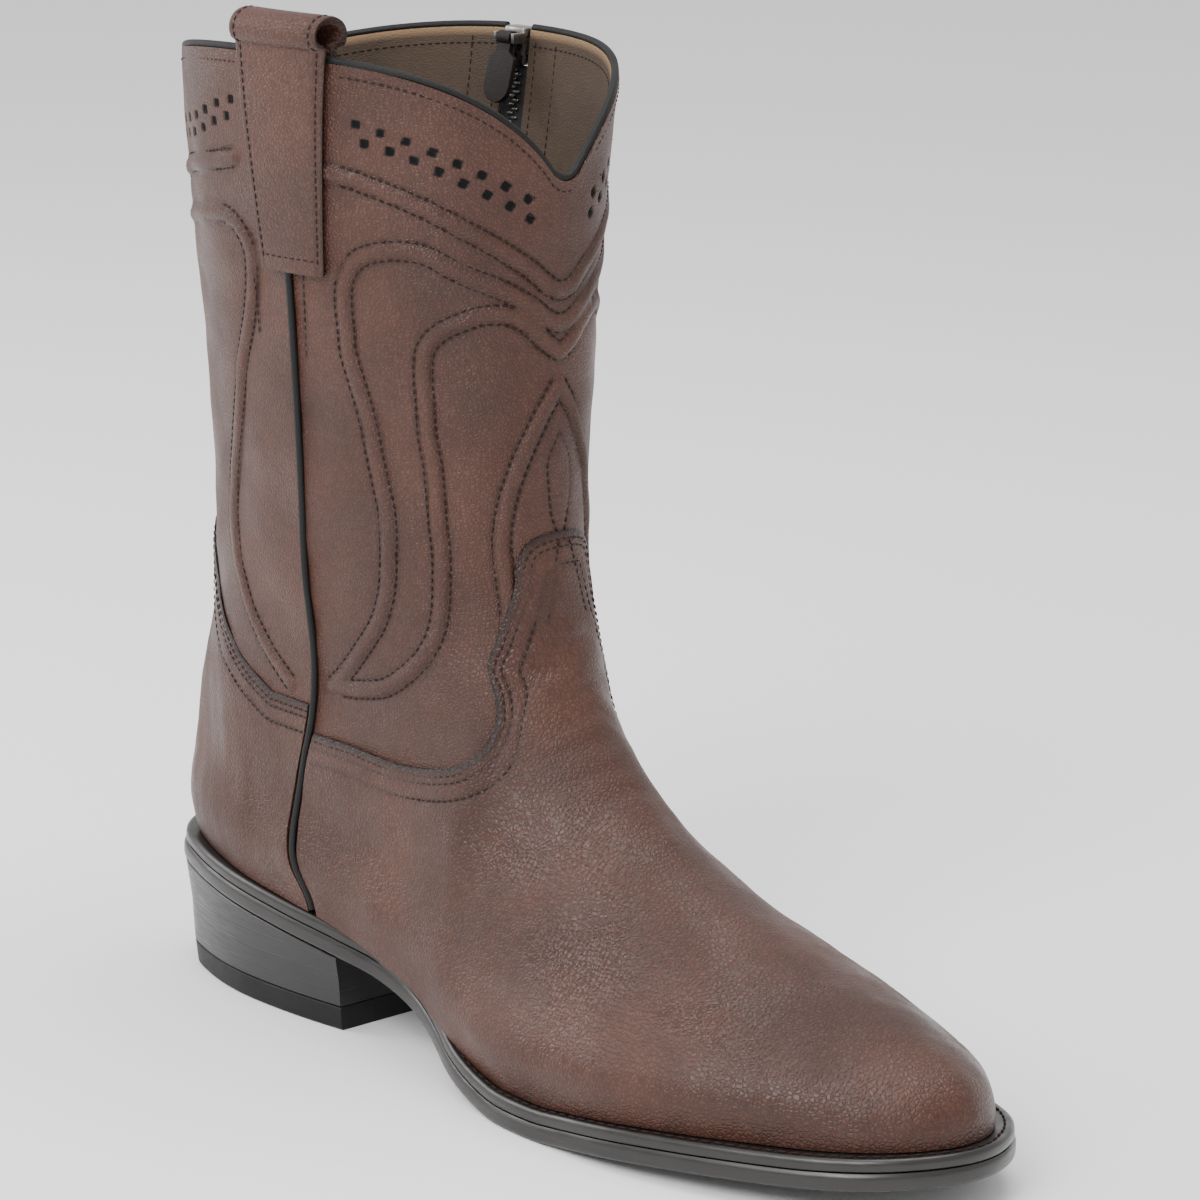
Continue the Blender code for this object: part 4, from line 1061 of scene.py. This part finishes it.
def patch(first, second, sign, columns, rows):  # a sheet below a sewn edge, between the side seams
    top = np.concatenate([first, second[::-1][1:]])
    top = resample(top, onSkin(top), columns)
    climb = np.linspace(0, 1, rows)
    sides = []
    for end in (top[0], top[-1]):
        side = math.copysign(1, -math.sin(end[0]))
        level = climb * end[1]
        theta = borderTheta(level, side, lambda z, s=side: seamX(z) + seamShift[s] + sign * overlay["seam"])
        lap = turn * round((end[0] - theta[-1]) / turn)
        sides.append(np.stack([theta + lap, level], -1))
    lead = int(columns * overlay["lead"])  # the foot of each column runs ahead of its top
    middleTheta = (top[0, 0] + top[-1, 0]) / 2
    at = np.linspace(0, 1, columns)
    ahead = np.maximum.accumulate(top[:, 0])
    ahead = np.concatenate([ahead[lead:], np.full(lead, ahead[-1])])
    ahead = np.minimum(ahead, middleTheta - overlay["fan"] * (0.5 - at))
    behind = np.minimum.accumulate(top[::-1, 0])[::-1]
    behind = np.concatenate([np.full(lead, behind[0]), behind[:-lead]])
    behind = np.maximum(behind, middleTheta + overlay["fan"] * (at - 0.5))
    follow = np.where(at < 0.5, ahead, behind)
    kernel = np.hanning(2 * (columns // 14) + 1)
    kernel = kernel / kernel.sum()
    reach = len(kernel) // 2
    before, after = 2 * follow[0] - follow[reach:0:-1], 2 * follow[-1] - follow[-2 : -reach - 2 : -1]
    follow = np.convolve(np.concatenate([before, follow, after]), kernel, mode="valid")
    foot = follow + (sides[0][0, 0] - follow[0]) * np.clip(1 - at / overlay["ease"], 0, 1) ** 1.5
    foot = foot + (sides[1][0, 0] - follow[-1]) * np.clip(1 - (1 - at) / overlay["ease"], 0, 1) ** 1.5
    bottom = np.stack([foot, np.zeros(columns)], -1)
    u = at[None, :, None]
    v = climb[:, None, None]
    ruled = (1 - v) * bottom[None] + v * top[None]
    left, right = sides[0][:, None], sides[1][:, None]
    between = (1 - u) * left + u * right
    corners = (1 - u) * ((1 - v) * bottom[0] + v * top[0]) + u * ((1 - v) * bottom[-1] + v * top[-1])
    grid = relaxed(ruled + between - corners)
    return grid[..., 0], grid[..., 1], top


vampFirst = edgePath(vampEdgeTable, lateral, 1)
vampSecond = edgePath(vampEdgeTable, medial, 1)
vampTheta, vampLevel, vampTop = patch(vampFirst, vampSecond, 1, overlay["vampColumns"], overlay["vampRows"])
counterFirst = edgePath(counterEdgeTable, medial, -1)
counterSecond = edgePath(counterEdgeTable, lateral, -1)
counterSecond[:, 0] += turn
counterTheta, counterLevel, counterTop = patch(
    counterFirst, counterSecond, -1, overlay["counterColumns"], overlay["counterRows"]
)


def insideEdge(top, offset):  # a row at that distance from an edge, without the loops at tight bends
    row = besidePath(top, -offset)
    points = onSkin(row)
    close = nearest(points, [onSkin(top)]) < 0.96 * offset
    kept = row[~close]
    return resample(kept, onSkin(kept), 500)


vampSews = [insideEdge(vampTop, offset) for offset in (0.0021, 0.0041, 0.0088)]
counterSews = [insideEdge(counterTop, offset) for offset in (0.0021, 0.0041, 0.0090)]
tonguePaths = bothSides([[(177, 0.652), (173.5, 0.628), (170.5, 0.604), (168, 0.587)]])

# Soft folds across the instep: middle in degrees and level, half length in degrees, droop in level,
# depth and width in metres
folds = [
    (178, 0.585, 20, 0.020, 0.00035, 0.0022), (182, 0.562, 24, 0.022, 0.00045, 0.0026),
    (179, 0.538, 26, 0.024, 0.00040, 0.0024), (183, 0.512, 24, 0.020, 0.00050, 0.0030),
    (177, 0.487, 22, 0.020, 0.00035, 0.0024), (181, 0.462, 24, 0.018, 0.00040, 0.0028),
    (180, 0.432, 20, 0.014, 0.00025, 0.0026), (178, 0.404, 18, 0.012, 0.00022, 0.0026),
    (183, 0.372, 17, 0.010, 0.00018, 0.0028),
]


def foldRelief(theta, level, span):  # span is metres per level
    total = np.zeros_like(theta)
    for middle, height, half, droop, depth, width in folds:
        off = (np.degrees(theta) - middle) / half
        line = height - droop * off**2 + 0.004 * np.sin(3.1 * off + middle)
        reach = np.exp(-(off**2) * 1.3)
        away = (level - line) * span
        total += -depth * reach * np.exp(-((away / width) ** 2))
        total += 0.55 * depth * reach * np.exp(-(((np.abs(away) - 1.7 * width) / (0.9 * width)) ** 2))
    return total


overlayLift = boot["gap"] + boot["overlay"]


def overlayPiece(name, cadName, theta, level, top, sews, seed):
    point, normal, _, upward = skinFrame(theta, level)
    sewn = nearest(point, [onSkin(path) for path in sews])
    fromEdge = nearest(point, [onSkin(top)])
    relief = -0.00020 * np.exp(-((sewn / band["grooveWidth"]) ** 2))
    relief = relief + 0.00030 * ripple(point, 0.035, seed) + 0.00009 * ripple(point, 0.010, seed + 1)
    relief = relief * smooth(0.0, 0.05, level + 0.02)
    relief = relief - 0.00045 * np.exp(-((fromEdge / 0.0006) ** 2))
    if cadName == "vamp":
        relief = relief + foldRelief(theta, level, np.linalg.norm(upward, axis=-1))
    rim = np.clip(1.25 * np.exp(-((fromEdge / 0.0011) ** 2)), 0, 1)
    points = point + normal * (overlayLift + relief)[..., None]
    # the sewn mark paints shade along the rows of thread
    piece = gridPiece(name, points, {"rim": rim, "sewn": np.exp(-((sewn / sewnShadeWidth) ** 2))})
    thicken(piece, boot["overlay"])
    finishPiece(piece, vampLook, (cadName,))


overlayPiece("vampLeather", "vamp", vampTheta, vampLevel, vampTop, vampSews + tonguePaths, 21)
overlayPiece("counterLeather", "counter", counterTheta, counterLevel, counterTop, counterSews, 31)
print("vamp and counter made")

# Rows of thread on the leather


def visibleShaft(path):  # its runs that no overlay, strap or zip covers
    points = onSkin(path)
    blocked = sideGap(points, 0.001)
    for side, isSide in ((lateral, points[:, 1] < 0), (medial, points[:, 1] >= 0)):
        for rows in (vampEdgeTable, counterEdgeTable):
            ex, ez = edgeSide(rows, 200)
            start = float(seamX(ez[0])) + seamShift[side]
            ex = np.concatenate([[start], ex])
            ez = np.concatenate([[ez[0]], ez])
            if rows is vampEdgeTable:
                reach = np.array([ez[np.argmin(np.abs(ex - x))] for x in points[:, 0]])
                reach = np.where(points[:, 0] > ex.max(), 0.154, reach)
                hidden = (points[:, 0] > start) & (points[:, 2] < reach + 0.001)
            else:
                reach = np.interp(points[:, 0], ex[::-1], ez[::-1])
                hidden = (points[:, 0] < start) & (points[:, 2] < reach + 0.001)
            blocked |= isSide & hidden
    return runsOutside(path, blocked)


shaftRows = []
for path in bandRows + threadPaths:
    shaftRows += [rowOn(run, 0.0001) for run in visibleShaft(path)]
collarSpots = onSkin(collarPath)
shaftRows += [rowOn(run, 0.0001) for run in runsOutside(collarPath, sideGap(collarSpots, 0.002))]
for sign in (-1, 1):
    zipHeights = np.linspace(zipper["bottom"] + 0.002, boot["height"] - 0.006, 200)
    zipRow = sidePoint(zipper["x"] + sign * (zipper["slot"] / 2 + 0.0028), zipHeights, medial, 0.0001)
    shaftRows.append((zipRow, np.tile([0.0, 1.0, 0.0], (200, 1))))
sewPiece("shaftStitches", shaftRows)
sewPiece("vampStitches", [rowOn(path, overlayLift - 0.00005) for path in vampSews + tonguePaths])
sewPiece("counterStitches", [rowOn(path, overlayLift - 0.00005) for path in counterSews])
liningRows = []
for sign in (-1, 1):
    for out in (0.0030, 0.0120):
        zipRow = sidePoint(zipper["x"] + sign * (zipper["slot"] / 2 + out), zipHeights, medial, -boot["wall"] - 0.0001)
        liningRows.append((zipRow, np.tile([0.0, -1.0, 0.0], (200, 1))))
lowCollar = np.stack([collarPath[:, 0], np.full(600, levelUnderCollar(0.0075))], -1)
for run in runsOutside(lowCollar, sideGap(onSkin(lowCollar), 0.001)):
    point, normal = rowOn(run, -boot["wall"] - 0.0001)
    liningRows.append((point, -normal))
sewPiece("liningStitches", liningRows)
print("stitches sewn")

# Piping

rimTheta = np.linspace(medialBack[-1] + 0.004, medialFront[-1] + turn - 0.004, 400)
rimLine = skin(rimTheta, rimLevel, -boot["wall"] / 2) + np.array([0, 0, boot["pipingRadius"] * 0.6])
collarPiping = beadPiece("collarPiping", rimLine, boot["pipingRadius"])
finishPiece(collarPiping, pipingLook, ("collar_piping",))
strapBottom = boot["height"] - 0.0620
for name, cadName, side, high in (
    ("sidePiping", "side_piping", lateral, strapBottom + 0.004),
    ("innerPiping", "inner_piping", medial, zipper["bottom"] - boot["pipingRadius"] - boot["gap"]),
):
    low = float(featherZ(seamX(0.15 * boot["height"]) + seamShift[side])) + boot["pipingRadius"]
    heights = np.linspace(low, high, 160)
    line = sidePoint(seamX(heights) + seamShift[side], heights, side, boot["pipingRadius"] * 0.75)
    piping = beadPiece(name, line, boot["pipingRadius"])
    finishPiece(piping, pipingLook, (cadName,))

# Pull strap

def strapColumn(share, offset):
    outside = np.linspace(boot["height"] - strap["drop"], boot["height"], 60)
    inside = np.linspace(boot["height"], boot["height"] - strap["insideDrop"], 40)

    def across(heights):
        width = strap["width"] + (strap["endWidth"] - strap["width"]) * (boot["height"] - heights) / strap["drop"]
        return strapX + share * width

    seat = boot["gap"] + strap["thickness"] / 2
    out = sidePoint(across(outside), outside, lateral, seat + offset)
    back = sidePoint(across(inside), inside, lateral, -boot["wall"] - seat - offset)
    middle = (out[-1] + back[0]) / 2
    half = (back[0][1] - out[-1][1]) / 2
    arch = []
    for angle in np.linspace(0, math.pi, 42)[1:-1]:
        swell = (half + strap["bulge"] * math.sin(angle) ** strap["fullness"]) * math.cos(angle)
        arch.append((middle[0], middle[1] - swell, boot["height"] + (strap["rise"] + offset) * math.sin(angle)))
    return np.concatenate([out, np.array(arch), back])


strapShares = np.linspace(-0.5, 0.5, 36)
strapGrid = np.stack([strapColumn(s, strap["thickness"] / 2) for s in strapShares], 1)
strapAway = np.abs(np.abs(strapShares) - 0.5) * strap["width"]
along = unit(np.gradient(strapGrid, axis=0))
acrossStrap = unit(np.gradient(strapGrid, axis=1))
strapNormal = unit(np.cross(acrossStrap, along))
strapRelief = -0.00022 * np.exp(-(((strapAway - 0.0022) / 0.0008) ** 2)) - 0.0004 * np.exp(-((strapAway / 0.0007) ** 2))
# painted shade along the strap's rows of thread
strapStitchShade = np.broadcast_to(np.exp(-(((strapAway - 0.0022) / 0.0007) ** 2)), strapGrid.shape[:2])
strapRim = np.broadcast_to(0.6 * np.exp(-((strapAway / 0.0006) ** 2)), strapGrid.shape[:2])
strapPoints = strapGrid + strapNormal * np.broadcast_to(strapRelief, strapGrid.shape[:2])[..., None]
strapPiece = gridPiece("pullStrap", strapPoints, {"rim": np.array(strapRim), "sewn": np.array(strapStitchShade)})
thicken(strapPiece, strap["thickness"], 0.0004)
finishPiece(strapPiece, strapLook, ("pull_strap",))
strapRows = []
for share in (-0.5, 0.5):
    inner = share * (1 - 2 * 0.0022 / strap["width"])
    column = strapColumn(inner, strap["thickness"] / 2)[3:]
    shift = strapColumn(inner, strap["thickness"] / 2 + 0.0005)[3:]
    strapRows.append((column - unit(shift - column) * 0.0001, unit(shift - column)))
bottomRow = np.array([strapColumn(s, strap["thickness"] / 2)[4] for s in np.linspace(-0.40, 0.40, 20)])
bottomOut = np.array([strapColumn(s, strap["thickness"] / 2 + 0.0005)[4] for s in np.linspace(-0.40, 0.40, 20)])
strapRows.append((bottomRow, unit(bottomOut - bottomRow)))
sewPiece("strapStitches", strapRows)
print("strap made")

# Sole, welt, insole and heel, as stacks of rings that close on the middle line

around = 240
ringTheta = np.linspace(0, turn, around + 1)


def outlineRing(inset, rise, across=1.0, base=undersideZ):
    share = (1 - np.cos(ringTheta)) / 2
    side = np.where(ringTheta % turn < math.pi, lateral, medial)
    x = inset + (boot["soleLength"] - 2 * inset) * share
    half = soleHalf(boot["soleLength"] * share, side)
    narrow = inset * np.clip(half / (0.12 * boot["ballWidth"]), 0, 1)
    return np.stack([x, across * side * (half - narrow), base(x) + rise], -1)


def stackPiece(name, rings, material, replaces, closed=False, degrees=45):
    points = np.array(rings + rings[:1] if closed else rings)
    piece = gridPiece(name, points)
    weld(piece, 2e-6)
    activate(piece)
    bpy.ops.object.mode_set(mode="EDIT")
    bpy.ops.mesh.select_all(action="SELECT")
    bpy.ops.mesh.normals_make_consistent(inside=False)
    bpy.ops.object.mode_set(mode="OBJECT")
    finishPiece(piece, material, replaces, degrees=degrees)
    return piece


inward = (0.0, 0.25, 0.5, 0.75, 0.9)
thick = boot["soleThickness"]
edgeRound = [
    (0.0012, 0.0000), (0.00065, 0.00015), (0.0002, 0.0006), (0.0, 0.0013), (0.0, 0.0024), (0.0, 0.0036),
    (0.00015, 0.0043), (0.0006, thick),
]
soleRings = [outlineRing(0.0012, 0.0, a) for a in inward] + [outlineRing(i, r) for i, r in edgeRound]
soleRings += [outlineRing(0.0006, thick, a) for a in inward[::-1]]
stackPiece("outsoleLeather", soleRings, soleLook, ("outsole",))

weltIn = skin(ringTheta, 0.0, -boot["wall"])
weltIn[:, 2] = 0


def weltRing(inset, rise):
    return outlineRing(0.0004 + inset, rise, 1.0, weltZ)


def weltInner(rise, pull=0.0):
    ring = weltIn.copy()
    ring[:, 2] = weltZ(ring[:, 0]) + rise
    return ring


tall = boot["weltThickness"]
weltRings = [weltInner(0.0), weltRing(0.0003, 0.0), weltRing(0.0, 0.0004), weltRing(0.0, 0.0018)]
weltRings += [weltRing(0.00015, tall - 0.0007), weltRing(0.0007, tall - 0.0001)]
outer = weltRing(0.0009, tall)
outer2 = weltRing(0.0016, tall)
inner = weltInner(tall)
weltRings += [outer, outer2]
for step in (0.35, 0.7):
    middle = outer2 + (inner - outer2) * step
    middle[:, 2] = weltZ(middle[:, 0]) + tall
    weltRings.append(middle)
weltRings.append(inner)
stackPiece("weltStrip", weltRings, soleLook, ("welt",), closed=True)
weltStitch = {"pitch": 0.0036, "length": 0.0028, "width": 0.0008, "height": 0.0006}
keep = (ringTheta > math.radians(80)) & (ringTheta < math.radians(280))
weltRow = outlineRing(0.0024, tall + 0.0002, 1.0, weltZ)[keep]
sewPiece("weltStitches", [(weltRow, np.tile([0.0, 0.0, 1.0], (len(weltRow), 1)))], size=weltStitch)

insolePlan = skin(ringTheta, 0.0, -boot["wall"] - 2 * boot["gap"])


def insoleRing(rise, across=1.0, narrow=1.0):
    ring = insolePlan.copy()
    ring[:, 1] *= across * narrow
    ring[:, 2] = weltZ(ring[:, 0]) + rise
    return ring


insoleRings = [insoleRing(boot["gap"], a) for a in inward + (1.0,)]
insoleRings += [insoleRing(0.0042), insoleRing(0.0048, 1.0, 0.99)]
insoleRings += [insoleRing(0.0050, a) for a in (0.97,) + inward[::-1]]
stackPiece("insoleBoard", insoleRings, liningLook, ("insole",))

heel = {"taper": 0.0035, "cap": 0.0070, "waist": 0.65, "seat": 0.0004}


def heelRing(inset, height, across=1.0):
    turns = np.linspace(-math.pi / 2, math.pi / 2, 120)
    alongHeel = 1 - np.cos(turns)
    side = np.where(turns < 0, lateral, medial)
    half = soleHalf(boot["heelBreast"] * alongHeel, side)
    narrow = inset * np.clip(half / (0.12 * boot["ballWidth"]), 0, 1)
    x = inset + (boot["heelBreast"] - inset) * alongHeel
    plan = np.column_stack([x, side * (half - narrow)])
    breastY = np.linspace(plan[-1, 1], plan[0, 1], 24)[1:]
    breast = np.column_stack([np.full(23, plan[0, 0]), breastY])
    plan = np.concatenate([plan, breast])
    plan[:, 1] *= across
    return np.column_stack([plan, height(plan[:, 0])])


capShare = heel["cap"] / boot["heelLift"]
capInset = heel["taper"] * (1 - capShare)
capRings = [heelRing(heel["taper"] + 0.0006, lambda x: 0 * x, a) for a in inward + (1.0,)]
capRings += [heelRing(heel["taper"], lambda x: 0 * x + 0.0006)]
capRings += [heelRing(capInset + 0.0001, lambda x: 0 * x + heel["cap"] - 0.0004)]
capRings += [heelRing(capInset + 0.0004, lambda x: 0 * x + heel["cap"], a) for a in (1.0,) + inward[::-1]]
stackPiece("heelCap", capRings, rubberLook, ("heel_cap",), degrees=35)


def stackInset(share):
    if share < 0.5:
        middle = heel["waist"] * capInset + (1 - heel["waist"]) * heel["seat"]
        return capInset + (middle - capInset) * share * 2
    middle = heel["waist"] * capInset + (1 - heel["waist"]) * heel["seat"]
    return middle + (heel["seat"] - middle) * (share - 0.5) * 2


def stackHeight(share):
    low = heel["cap"] + boot["gap"]
    return lambda x: low + (undersideZ(x) - boot["gap"] - low) * share


stackRings = [heelRing(capInset + 0.0003, stackHeight(0.0), a) for a in inward + (1.0,)]
stackRings += [heelRing(stackInset(s), stackHeight(s)) for s in np.linspace(0.015, 0.985, 28)]
stackRings += [heelRing(heel["seat"] + 0.0003, stackHeight(1.0), a) for a in (1.0,) + inward[::-1]]
stackPiece("heelStack", stackRings, heelLook, ("heel_stack",), degrees=35)
print("sole and heel made")

# Zip: tape, teeth, slider and pull tab

zipTop = boot["height"] - zipper["drop"] - zipper["slider"]
tapeHeights = np.linspace(zipper["bottom"] + 0.0005, zipTop - 0.0003, 160)
tapeAcross = np.linspace(-zipper["slot"] / 2 + 0.0004, zipper["slot"] / 2 - 0.0004, 9)[::-1]
tapePoints = np.array([sidePoint(zipper["x"] + tapeAcross, z, medial, -0.0007) for z in tapeHeights])
tapePiece = gridPiece("zipTape", tapePoints)
thicken(tapePiece, 0.0010)
finishPiece(tapePiece, tapeLook, ("zip_tape",))

tooth = {"pitch": 0.00125, "wide": 0.0024, "deep": 0.0022, "tall": 0.0008}
bpy.ops.object.select_all(action="DESELECT")
bpy.ops.mesh.primitive_cube_add(size=1)
toothObject = bpy.context.object
toothObject.scale = (tooth["wide"], tooth["deep"], tooth["tall"])
bpy.ops.object.transform_apply(location=False, rotation=False, scale=True)
soften(toothObject, 0.0002, 1, 30)
applyAll(toothObject)
toothPoints, toothFaces = shapeOf(toothObject)
toothHeights = np.arange(zipper["bottom"] + 0.0016, zipTop - 0.0010, tooth["pitch"])
toothVerts = []
for k, z in enumerate(toothHeights):
    shift = 0.0008 if k % 2 else -0.0008
    toothVerts.append(sidePoint(zipper["x"] + shift, z, medial, -boot["wall"] / 2) + toothPoints)
toothFaces = facesOf(toothFaces, len(toothPoints), len(toothHeights))
teeth = meshPiece("zipTeeth", np.concatenate(toothVerts), toothFaces)
finishPiece(teeth, nickelLook, ("zip_tape",))


def roundedCopy(cadName, name, width):  # the solid itself, merged and with softened edges
    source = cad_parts[cadName]
    activate(source)
    piece = bpy.data.objects.new(name, source.data.copy())
    piece.matrix_world = source.matrix_world.copy()
    bpy.context.scene.collection.objects.link(piece)
    weld(piece)
    activate(piece)
    bpy.ops.object.mode_set(mode="EDIT")
    bpy.ops.mesh.select_all(action="SELECT")
    bpy.ops.mesh.dissolve_limited(angle_limit=math.radians(4))
    bpy.ops.object.mode_set(mode="OBJECT")
    soften(piece, width, 3, 40)
    applyAll(piece)
    activate(piece)
    bpy.ops.object.transform_apply(location=True, rotation=True, scale=True)
    return piece


slider = roundedCopy("zip_slider", "zipSlider", 0.00025)
finishPiece(slider, nickelLook, ("zip_slider",))
pullTab = roundedCopy("zip_pull", "pullTab", 0.0003)
finishPiece(pullTab, tabLook, ("zip_pull",), body="pull")
print("zip made")

# Floor, light and camera

bpy.ops.object.select_all(action="DESELECT")
bpy.ops.mesh.primitive_plane_add(size=8, location=(0, 0, 0))
floor = bpy.context.object
floor.name = "floor"
floorMaterial, floorTree, floorShader, floorPlace = newMaterial("paleFloor", 0.9)
floorShader.inputs["Base Color"].default_value = (0.93, 0.93, 0.93, 1)
floor.data.materials.append(floorMaterial)

world = bpy.data.worlds.new("studio")
bpy.context.scene.world = world
world.use_nodes = True
world.node_tree.nodes["Background"].inputs[0].default_value = (1.0, 1.0, 1.0, 1)
world.node_tree.nodes["Background"].inputs[1].default_value = 1.0

studio = {
    "key": ((0.35, -1.35, 1.25), 0.9, 26.0),
    "left": ((-1.2, -0.7, 0.8), 0.8, 12.0),
    "top": ((0.15, 0.1, 1.6), 1.0, 14.0),
}
for name, (spot, size, power) in studio.items():
    lamp = bpy.data.lights.new(name, "AREA")
    lamp.energy = power
    lamp.size = size
    lampObject = bpy.data.objects.new(name, lamp)
    bpy.context.scene.collection.objects.link(lampObject)
    lampObject.location = spot
    lampObject.rotation_euler = (Vector((0.08, 0, 0.10)) - Vector(spot)).to_track_quat("-Z", "Y").to_euler()

view = {"turn": 44.0, "rise": 13.6, "roll": 2.1, "distance": 1.261, "lens": 136.2, "aim": (0.1010, 0.012, 0.132)}
a, e, r = (math.radians(view[key]) for key in ("turn", "rise", "roll"))
back = Vector((math.sin(a) * math.cos(e), -math.cos(a) * math.cos(e), math.sin(e)))
flatRight = Vector((math.cos(a), math.sin(a), 0))
flatUp = back.cross(flatRight)
right = flatRight * math.cos(r) + flatUp * math.sin(r)
up = flatUp * math.cos(r) - flatRight * math.sin(r)
cameraData = bpy.data.cameras.new("camera")
cameraData.lens = view["lens"]
cameraData.sensor_width = 36
camera = bpy.data.objects.new("camera", cameraData)
bpy.context.scene.collection.objects.link(camera)
spot = Vector(view["aim"]) + back * view["distance"]
camera.matrix_world = Matrix((
    (right.x, up.x, back.x, spot.x), (right.y, up.y, back.y, spot.y), (right.z, up.z, back.z, spot.z), (0, 0, 0, 1),
))
bpy.context.scene.camera = camera
